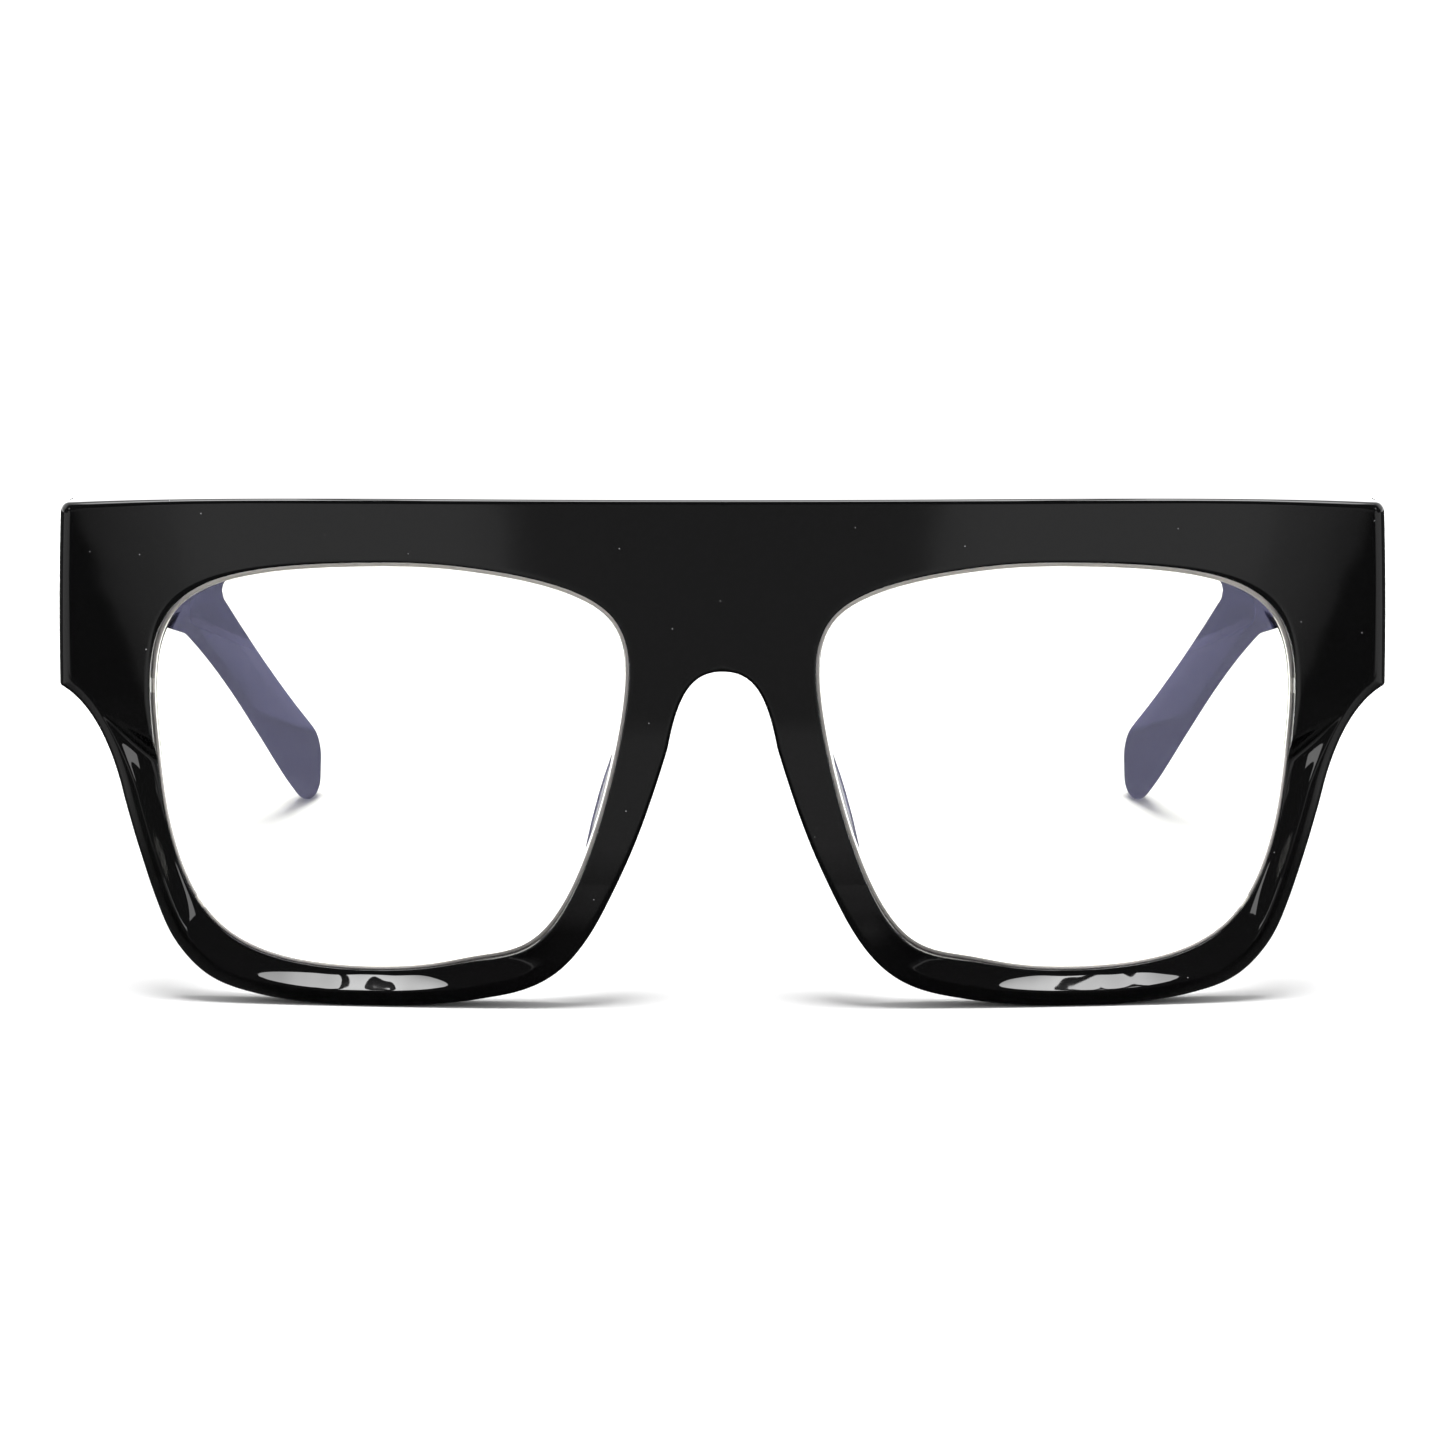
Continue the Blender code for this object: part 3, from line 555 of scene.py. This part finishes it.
def lens_ring(share, offset, depth, bevel=0.0, count=220):
    """A ring of the lens at a share of the opening, moved out by offset and back by depth.

    A bevel draws the ring in, by half of it at the sides and by all of it along the top.
    """
    ring = []
    for angle in np.linspace(180.0, -180.0, count, endpoint=False):
        normal = opening_normal(angle)
        edge = opening_point(angle) + normal * (offset - bevel * (1 + normal[1]) / 2)
        place = OPENING_CENTRE + (edge - OPENING_CENTRE) * share
        y = wrap(place[0]) + LENS_DEPTH - LENS_BULGE * (1 - share**2) + depth
        ring.append((place[0], y, place[1]))
    return ring


def micrometre_key(place):
    """A place in millimetres as whole micrometres, by which a vertex finds the ring it came from."""
    return tuple(np.round(place * 1000).astype(int))


def grind_edge(piece, rings, first, last):
    """Gives the second material to the faces between these two rings.

    A few vertices round to another micrometre in the mesh, and the faces that meet there stay clear.
    """
    ring_of = {}
    for k, ring in enumerate(rings):
        for point in ring:
            ring_of[micrometre_key(point + (0, FRONT_Y, 0))] = k
    vertices = piece.data.vertices
    for face in piece.data.polygons:
        places = [np.array(vertices[v].co) / MILLIMETRE for v in face.vertices]
        levels = [ring_of.get(micrometre_key(place), 0) for place in places]
        if min(levels) >= first and max(levels) <= last:
            face.material_index = 1


def make_lens(word, side, materials):
    """A clear lens with a ground bevel round its edge."""
    half = LENS_THICKNESS / 2
    shares = [0.01] + list(np.linspace(0.08, 0.98, 14))
    rings = [lens_ring(share, -0.12, -half) for share in shares]
    rings.append(lens_ring(1.0, -0.35, -half))
    first_ground = len(rings) - 1
    rings.append(lens_ring(1.0, -0.05, -half + 0.16))
    rings.append(lens_ring(1.0, -0.05, -GROOVE_HALF_WIDTH / 2))
    rings.append(lens_ring(1.0, GROOVE_DEPTH - 0.2, 0.0))
    rings.append(lens_ring(1.0, -0.42, GROOVE_HALF_WIDTH - 0.25, bevel=0.42))
    rings.append(lens_ring(1.0, -0.44, half - 0.12, bevel=0.42))
    last_ground = len(rings)
    rings.append(lens_ring(1.0, -0.50, half, bevel=0.42))
    rings += [lens_ring(share, -0.50, half, bevel=0.42) for share in reversed(shares)]
    rings = np.array(rings) * (side, 1, 1)
    points, faces = loft(rings)
    name = f"lens_{word}_clear"
    piece = make_piece(name, points, faces, materials[0], "front", [f"lens_{word}"], 20.0)
    piece.data.materials.append(materials[1])
    grind_edge(piece, rings, first_ground, last_ground)
    piece.visible_shadow = False
    return piece


def pad_angle(z):
    """The opening angle on the nose side at this height."""
    angles = np.linspace(-150.0, -205.0, 400)
    heights = np.array([opening_point(angle)[1] for angle in angles])
    return angles[np.abs(heights - z).argmin()]


def make_pad(word, side, material):
    """A bonded pad behind the nose side of the rim, long and oval, leaning outwards as it goes back."""
    rings = []
    for i in range(PAD_RINGS):
        share = 0.5 - 0.5 * math.cos(math.pi * i / (PAD_RINGS - 1))
        z = PAD_TOP + (PAD_BOTTOM - PAD_TOP) * share
        size = math.sqrt(max(0.0004, 1 - (2 * share - 1) ** 2))
        angle = pad_angle(z)
        normal = opening_normal(angle)
        root = opening_point(angle) + normal * (PAD_THICKNESS / 2 - PAD_OVERLAP)
        back = back_level(root[None])[0]
        ring = []
        for turn in np.linspace(0.0, 2 * math.pi, 36, endpoint=False):
            reach = (1 + math.cos(turn)) / 2 * PAD_REACH * size
            across = math.sin(turn) * PAD_THICKNESS / 2 * size - reach * PAD_LEAN
            place = root + normal * across
            ring.append((side * place[0], back - PAD_SINK + reach, z))
        rings.append(ring)
    points, faces = loft(rings)
    return make_piece(f"pad_{word}", points, faces, material, "front", [f"nose_pad_{word}"], 180.0)


# ---------------------------------------------------------------- temples


def rounded_section(width, height, corner_width, corner_height, steps=9):
    """Points round a rectangle with elliptical corners, centred, as (across, up) pairs."""
    corner_width = min(corner_width, width / 2 - 0.01)
    corner_height = min(corner_height, height / 2 - 0.01)
    points = []
    for corner in range(4):
        middle_across = (width / 2 - corner_width) * (1, -1, -1, 1)[corner]
        middle_up = (height / 2 - corner_height) * (1, 1, -1, -1)[corner]
        for turn in np.radians(np.linspace(0.0, 90.0, steps) + 90 * corner):
            across = middle_across + corner_width * math.cos(turn)
            points.append((across, middle_up + corner_height * math.sin(turn)))
    return points


def temple_section(share, fall):
    """Centre height, height, inner x and thickness of the temple at a share of its reach."""
    drop, height, inset = spline_value(TEMPLE_STATIONS, share)
    thickness = TEMPLE_THICKNESS + (TEMPLE_TIP_THICKNESS - TEMPLE_THICKNESS) * blend(0.1, 0.9, share)
    return TEMPLE_HINGE_Z - fall * drop, height, TEMPLE_INNER_X - inset, thickness


def temple_lean(share, fall):
    """Slope of the temple's run in radians, levelled out at the hinge."""
    behind, ahead = max(0.0, share - 0.01), min(1.0, share + 0.01)
    drop = temple_section(behind, fall)[0] - temple_section(ahead, fall)[0]
    return math.atan2(drop, (ahead - behind) * TEMPLE_REACH) * float(blend(0.0, 0.1, share))


def temple_ring(share, fall):
    """A rounded ring square to the temple's run, shrunk as an ellipse round its tip."""
    centre, height, inner, thickness = temple_section(share, fall)
    lean = temple_lean(share, fall)
    into_tip = max(0.0, (share - TIP_START) / (1 - TIP_START))
    fill = math.sqrt(1 - into_tip**2)
    into_end = max(0.0, 1 - share * TEMPLE_REACH / TEMPLE_END_RADIUS)
    trim = 2 * TEMPLE_END_RADIUS * (1 - math.sqrt(1 - into_end**2))
    softness = float(blend(0.35, 0.9, share))
    corners = [TEMPLE_CORNER + (tip - TEMPLE_CORNER) * softness for tip in TEMPLE_TIP_CORNER]
    corners = [corner * (0.25 + 0.75 * fill) for corner in corners]
    ring = []
    for across, up in rounded_section(thickness * fill - trim, height * fill - trim, *corners):
        y = TEMPLE_START + TEMPLE_REACH * share + up * math.sin(lean)
        ring.append((inner + thickness / 2 + across, y, centre + up * math.cos(lean)))
    return ring


def temple_rings(fall):
    """Rings evenly along the temple, and closer together round its tip."""
    shares = list(np.linspace(0.0, TIP_START, TEMPLE_RINGS))[:-1]
    shares += list(TIP_START + (1 - TIP_START) * np.sin(np.radians(np.linspace(0.0, 88.6, TIP_RINGS))))
    return np.array([temple_ring(share, fall) for share in shares])


def find_temple_fall():
    """The fall from hinge to tip that stands the temple on the surface the rims stand on."""
    first_tip_height = 6.0
    fall = TEMPLE_HINGE_Z - first_tip_height
    for _ in range(6):
        fall += temple_rings(fall)[:, :, 2].min()
    return fall


TEMPLE_FALL = find_temple_fall()


def make_temple(word, side, material):
    """A temple with its drop end, riding on the body that folds."""
    points, faces = loft(temple_rings(TEMPLE_FALL) * (side, 1, 1))
    body = f"temple_{word}"
    return make_piece(f"arm_{word}", points, faces, material, body, [body])


# ---------------------------------------------------------------- materials


class Nodes:
    """A node tree with short calls for adding and joining nodes."""

    def __init__(self, block):
        self.block = block
        self.block.use_nodes = True
        self.tree = self.block.node_tree
        self.shader = self.tree.nodes.get("Principled BSDF")

    def add(self, kind, **values):
        """A new node with these settings or unlinked inputs."""
        node = self.tree.nodes.new(kind)
        for name, value in values.items():
            if hasattr(node, name):
                setattr(node, name, value)
            else:
                node.inputs[name.replace("_", " ")].default_value = value
        return node

    def link(self, source, target):
        self.tree.links.new(source, target)

    def set(self, **values):
        """Sets inputs of the surface shader, with _ for each space in a name."""
        for name, value in values.items():
            self.shader.inputs[name.replace("_", " ")].default_value = value

    def place(self, scale=(1.0, 1.0, 1.0)):
        """Object-space coordinates, stretched by scale."""
        coordinates = self.add("ShaderNodeTexCoord")
        mapping = self.add("ShaderNodeMapping")
        mapping.inputs["Scale"].default_value = scale
        self.link(coordinates.outputs["Object"], mapping.inputs["Vector"])
        return mapping.outputs["Vector"]

    def noise(self, vector, scale, detail=2.0):
        node = self.add("ShaderNodeTexNoise", Scale=scale, Detail=detail)
        self.link(vector, node.inputs["Vector"])
        return node.outputs["Fac"]

    def remap(self, value, low, high, out_low, out_high):
        node = self.add("ShaderNodeMapRange")
        for name, number in zip(("From Min", "From Max", "To Min", "To Max"), (low, high, out_low, out_high)):
            node.inputs[name].default_value = number
        self.link(value, node.inputs["Value"])
        return node.outputs["Result"]

    def math(self, operation, first, second=0.0):
        node = self.add("ShaderNodeMath", operation=operation)
        for socket, value in zip(node.inputs, (first, second)):
            if isinstance(value, (int, float)):
                socket.default_value = value
            else:
                self.link(value, socket)
        return node.outputs["Value"]

    def ramp(self, value, stops):
        """A smooth grey curve through (position, brightness) stops."""
        node = self.add("ShaderNodeFloatCurve")
        curve = node.mapping.curves[0]
        curve.points[0].location = stops[0]
        curve.points[1].location = stops[-1]
        for stop in stops[1:-1]:
            curve.points.new(*stop)
        for point in curve.points:
            point.handle_type = "AUTO_CLAMPED"
        node.mapping.update()
        self.link(value, node.inputs["Value"])
        return node.outputs["Value"]

    def mix_colour(self, factor, first, second):
        node = self.add("ShaderNodeMix", data_type="RGBA")
        self.link(factor, node.inputs["Factor"])
        node.inputs[6].default_value = (*first, 1.0)
        node.inputs[7].default_value = (*second, 1.0)
        return node.outputs[2]

    def mirror_ray(self):
        """1 for rays that come off a glossy surface, and 0 for straight ones and those through glass."""
        path = self.add("ShaderNodeLightPath")
        return self.math("MULTIPLY", path.outputs["Is Glossy Ray"], path.outputs["Is Reflection Ray"])

    def bump(self, height, strength, distance):
        node = self.add("ShaderNodeBump", Strength=strength, Distance=distance)
        self.link(height, node.inputs["Height"])
        return node.outputs["Normal"]


def new_material(name):
    """The nodes of a new material."""
    return Nodes(bpy.data.materials.new(name))


def specks(nodes, vector, cells, size):
    """1 on sparse tiny specks of dust and 0 elsewhere."""
    voronoi = nodes.add("ShaderNodeTexVoronoi", Scale=cells, Randomness=1.0)
    nodes.link(vector, voronoi.inputs["Vector"])
    return nodes.remap(voronoi.outputs["Distance"], size * 0.75, size, 1.0, 0.0)


def black_acetate():
    """Polished black acetate: polishing waves low down, faint haze and a few specks of dust."""
    nodes = new_material("black_acetate")
    vector = nodes.place()
    dust = specks(nodes, vector, 420.0, 0.03)
    haze = nodes.noise(vector, 90.0, 3.0)
    colour = nodes.mix_colour(dust, (0.0012, 0.0012, 0.0013), (0.3, 0.3, 0.31))
    nodes.link(colour, nodes.shader.inputs["Base Color"])
    polish = nodes.remap(haze, 0.35, 0.7, 0.015, 0.035)
    roughness = nodes.math("MAXIMUM", polish, nodes.math("MULTIPLY", dust, 0.6))
    nodes.link(roughness, nodes.shader.inputs["Roughness"])
    split = nodes.add("ShaderNodeSeparateXYZ")
    nodes.link(vector, split.inputs["Vector"])
    low_down = nodes.remap(split.outputs["Z"], 0.007, 0.014, 1.0, 0.06)
    swell = nodes.math("MULTIPLY", nodes.noise(vector, 130.0, 1.0), low_down)
    nodes.link(nodes.bump(swell, 0.16, 0.002), nodes.shader.inputs["Normal"])
    nodes.set(IOR=1.49)
    return nodes.block


def clear_lens():
    """Clear plastic with the blue-violet reflection of a blue-light coating."""
    nodes = new_material("coated_lens")
    vector = nodes.place()
    smear = nodes.noise(vector, 60.0, 3.0)
    nodes.link(nodes.remap(smear, 0.4, 0.75, 0.0, 0.02), nodes.shader.inputs["Roughness"])
    nodes.set(Base_Color=(1.0, 1.0, 1.0, 1.0), Specular_Tint=(0.5, 0.5, 0.85, 1.0))
    nodes.set(Transmission_Weight=1.0, IOR=2.1)
    return nodes.block


def ground_edge():
    """The ground bevel round the lens, matt and pale."""
    nodes = new_material("ground_lens_edge")
    vector = nodes.place()
    wheel = nodes.noise(vector, 400.0, 2.0)
    nodes.link(nodes.remap(wheel, 0.3, 0.7, 0.35, 0.5), nodes.shader.inputs["Roughness"])
    nodes.set(Base_Color=(0.62, 0.59, 0.57, 1.0), IOR=1.5)
    return nodes.block


def brushed_metal(name, tone, scale):
    """Satin metal with fine brush lines and slightly duller patches."""
    nodes = new_material(name)
    vector = nodes.place(scale)
    lines = nodes.noise(vector, 2600.0, 2.0)
    patches = nodes.noise(nodes.place(), 500.0, 2.0)
    colour = nodes.mix_colour(patches, tone, tuple(0.8 * t for t in tone))
    nodes.link(colour, nodes.shader.inputs["Base Color"])
    nodes.link(nodes.remap(patches, 0.3, 0.7, 0.2, 0.34), nodes.shader.inputs["Roughness"])
    nodes.link(nodes.bump(lines, 0.12, 0.00005), nodes.shader.inputs["Normal"])
    nodes.set(Metallic=1.0)
    return nodes.block


# ---------------------------------------------------------------- stage


def painted_floor_reflection(nodes, vector):
    """Painted reflection brightness of the floor at a place measured in metres from the front."""
    split = nodes.add("ShaderNodeSeparateXYZ")
    nodes.link(vector, split.inputs["Vector"])
    aside, back = nodes.math("ABSOLUTE", split.outputs["X"]), split.outputs["Y"]
    depth = nodes.math("MAXIMUM", nodes.math("SUBTRACT", FAN_BACK, back), 0.001)
    share = nodes.math("MINIMUM", nodes.math("DIVIDE", nodes.math("DIVIDE", aside, depth), FAN_SPAN), 1.0)
    near = nodes.ramp(share, [(fan / FAN_SPAN, shade) for fan, shade in NEAR_FLOOR])
    far = nodes.ramp(share, [(fan / FAN_SPAN, shade) for fan, shade in FAR_FLOOR])
    beyond = nodes.remap(back, -FLOOR_EDGES[0], -FLOOR_EDGES[1], 0.0, 1.0)
    ahead = nodes.math("ADD", near, nodes.math("MULTIPLY", beyond, nodes.math("SUBTRACT", far, near)))
    behind = nodes.remap(back, 0.0, BEHIND_EDGE, 0.0, 1.0)
    change = nodes.math("MULTIPLY", behind, nodes.math("SUBTRACT", FLOOR_BEHIND, ahead))
    # Painted shadow of the glasses: within UNDER_GLASSES the floor's reflection falls to UNDER_SHADE, over
    # UNDER_EDGE.
    beside = nodes.math("SUBTRACT", aside, UNDER_GLASSES[0])
    before = nodes.math("SUBTRACT", nodes.math("MULTIPLY", back, -1.0), UNDER_GLASSES[1])
    painted_shadow_factor = nodes.remap(nodes.math("MAXIMUM", beside, before), 0.0, UNDER_EDGE, UNDER_SHADE, 1.0)
    return nodes.math("MULTIPLY", nodes.math("ADD", ahead, change), painted_shadow_factor)


def make_floor():
    """A wide pale floor, lit white, which glows for gloss rays only with a painted reflection brightness."""
    mesh = bpy.data.meshes.new("floor")
    corners = [(x * FLOOR_REACH, y * FLOOR_REACH, 0) for x, y in ((-1, -1), (1, -1), (1, 1), (-1, 1))]
    mesh.from_pydata(corners, [], [(0, 1, 2, 3)])
    floor = bpy.data.objects.new("floor", mesh)
    bpy.context.scene.collection.objects.link(floor)
    nodes = new_material("floor_white")
    nodes.set(Base_Color=(0.94, 0.94, 0.94, 1.0), Roughness=1.0, Specular_IOR_Level=0.0)
    coordinates = nodes.add("ShaderNodeTexCoord")
    shifted = nodes.add("ShaderNodeMapping")
    shifted.inputs["Location"].default_value = (0.0, -FRONT_Y * MILLIMETRE, 0.0)
    nodes.link(coordinates.outputs["Object"], shifted.inputs["Vector"])
    # Painted reflection: rays off a glossy surface see this glow instead of the lit floor.
    glow = nodes.add("ShaderNodeEmission")
    nodes.link(painted_floor_reflection(nodes, shifted.outputs["Vector"]), glow.inputs["Strength"])
    mix = nodes.add("ShaderNodeMixShader")
    nodes.link(nodes.mirror_ray(), mix.inputs["Fac"])
    nodes.link(nodes.shader.outputs["BSDF"], mix.inputs[1])
    nodes.link(glow.outputs["Emission"], mix.inputs[2])
    nodes.link(mix.outputs["Shader"], nodes.tree.nodes["Material Output"].inputs["Surface"])
    mesh.materials.append(nodes.block)
    return floor


def make_sun():
    """Broad soft light from above and a little in front."""
    data = bpy.data.lights.new("sun", "SUN")
    data.energy = SUN_STRENGTH
    data.angle = math.radians(SUN_SPREAD)
    sun = bpy.data.objects.new("sun", data)
    sun.rotation_euler = (math.radians(SUN_TILT), 0.0, 0.0)
    sun.visible_glossy = False
    bpy.context.scene.collection.objects.link(sun)


def make_panel(name, place, aim, size, glows):
    """A lit panel that only shows in gloss, with a glow at each of its two sides."""
    data = bpy.data.lights.new(name, "AREA")
    data.shape = "RECTANGLE"
    data.size, data.size_y = size
    data.energy = data.size * data.size_y * math.pi
    data.use_nodes = True
    nodes = Nodes(data)
    across = nodes.add("ShaderNodeSeparateXYZ")
    nodes.link(nodes.add("ShaderNodeNewGeometry").outputs["Parametric"], across.inputs["Vector"])
    strength = nodes.remap(across.outputs["X"], 0.0, 1.0, *glows)
    nodes.link(strength, nodes.tree.nodes["Emission"].inputs["Strength"])
    panel = bpy.data.objects.new(name, data)
    panel.location = Vector(place) + Vector((0.0, FRONT_Y * MILLIMETRE, 0.0))
    panel.rotation_euler = (Vector(aim) - Vector(place)).to_track_quat("-Z", "Y").to_euler()
    panel.visible_diffuse = False
    panel.visible_transmission = False
    bpy.context.scene.collection.objects.link(panel)


def make_panels():
    """Overhead cards that draw the highlights of the lower rims, and side panels for those of the scoops."""
    for word, side in (("left", 1), ("right", -1)):
        for k, (inner, outer, inner_glow, outer_glow) in enumerate(CARDS):
            middle = (side * (inner + outer) / 2, (CARD_BACK + CARD_FRONT) / 2)
            glows = (inner_glow, outer_glow) if side > 0 else (outer_glow, inner_glow)
            size = (outer - inner, CARD_BACK - CARD_FRONT)
            make_panel(f"card_{word}_{k}", (*middle, CARD_HEIGHT), (*middle, 0.0), size, glows)
        place = (side * PANEL_PLACE[0], *PANEL_PLACE[1:])
        make_panel(f"panel_{word}", place, (0.0, 0.0, 0.02), PANEL_SIZE, (PANEL_GLOW, PANEL_GLOW))


def make_world():
    """White to a straight look, softer as light, and by SKY_IN_GLOSS where gloss looks at it."""
    world = bpy.data.worlds.new("studio")
    nodes = Nodes(world)
    background = nodes.tree.nodes["Background"]
    background.inputs["Color"].default_value = (1.0, 1.0, 1.0, 1.0)
    background.inputs["Strength"].default_value = WORLD_WHITE
    soft = nodes.add("ShaderNodeBackground")
    soft.inputs["Color"].default_value = (1.0, 1.0, 1.0, 1.0)
    soft.inputs["Strength"].default_value = WORLD_LIGHT
    gloss = nodes.add("ShaderNodeBackground")
    coordinates = nodes.add("ShaderNodeTexCoord")
    split = nodes.add("ShaderNodeSeparateXYZ")
    nodes.link(coordinates.outputs["Generated"], split.inputs["Vector"])
    ahead = nodes.math("MULTIPLY", split.outputs["Y"], -1.0)
    height = nodes.math("DIVIDE", nodes.math("ARCTAN2", split.outputs["Z"], ahead), math.pi)
    shade = nodes.math("MULTIPLY", nodes.ramp(height, SKY_IN_GLOSS), SKY_STRENGTH)
    nodes.link(shade, gloss.inputs["Strength"])
    path = nodes.add("ShaderNodeLightPath")
    shown = background.outputs["Background"]
    for ray, seen in ((path.outputs["Is Diffuse Ray"], soft), (nodes.mirror_ray(), gloss)):
        mix = nodes.add("ShaderNodeMixShader")
        nodes.link(ray, mix.inputs["Fac"])
        nodes.link(shown, mix.inputs[1])
        nodes.link(seen.outputs["Background"], mix.inputs[2])
        shown = mix.outputs["Shader"]
    nodes.link(shown, nodes.tree.nodes["World Output"].inputs["Surface"])
    bpy.context.scene.world = world


def make_camera():
    """A long lens ahead of the front, looking a little down at it."""
    data = bpy.data.cameras.new("camera")
    data.sensor_width = CAMERA_SENSOR
    data.lens = CAMERA_LENS
    camera = bpy.data.objects.new("camera", data)
    camera.location = (0.0, -CAMERA_DISTANCE + FRONT_Y * MILLIMETRE, CAMERA_HEIGHT)
    camera.rotation_euler = (math.radians(CAMERA_TURN), 0.0, 0.0)
    bpy.context.scene.collection.objects.link(camera)
    bpy.context.scene.camera = camera


def finish_metal_nodes():
    """Gives the carried-over hinge pieces, screws and wires their metals."""
    metals = {
        "hinge_leaf": brushed_metal("hinge_steel", (0.60, 0.60, 0.61), (1.0, 1.0, 12.0)),
        "screw": brushed_metal("screw_steel", (0.66, 0.66, 0.67), (1.0, 1.0, 1.0)),
        "wire": brushed_metal("wire_steel", (0.55, 0.56, 0.57), (1.0, 0.1, 1.0)),
    }
    for name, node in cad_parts.items():
        for word, metal in metals.items():
            if word in name:
                node.data.materials.clear()
                node.data.materials.append(metal)


def main():
    """Builds the pieces, the stage and the camera."""
    acetate = black_acetate()
    lens_materials = (clear_lens(), ground_edge())
    make_front(acetate)
    for word, side in (("left", 1), ("right", -1)):
        make_lens(word, side, lens_materials)
        make_pad(word, side, acetate)
        make_temple(word, side, acetate)
    finish_metal_nodes()
    make_floor()
    make_world()
    make_sun()
    make_panels()
    make_camera()
    bpy.context.scene.view_settings.view_transform = "Standard"


main()
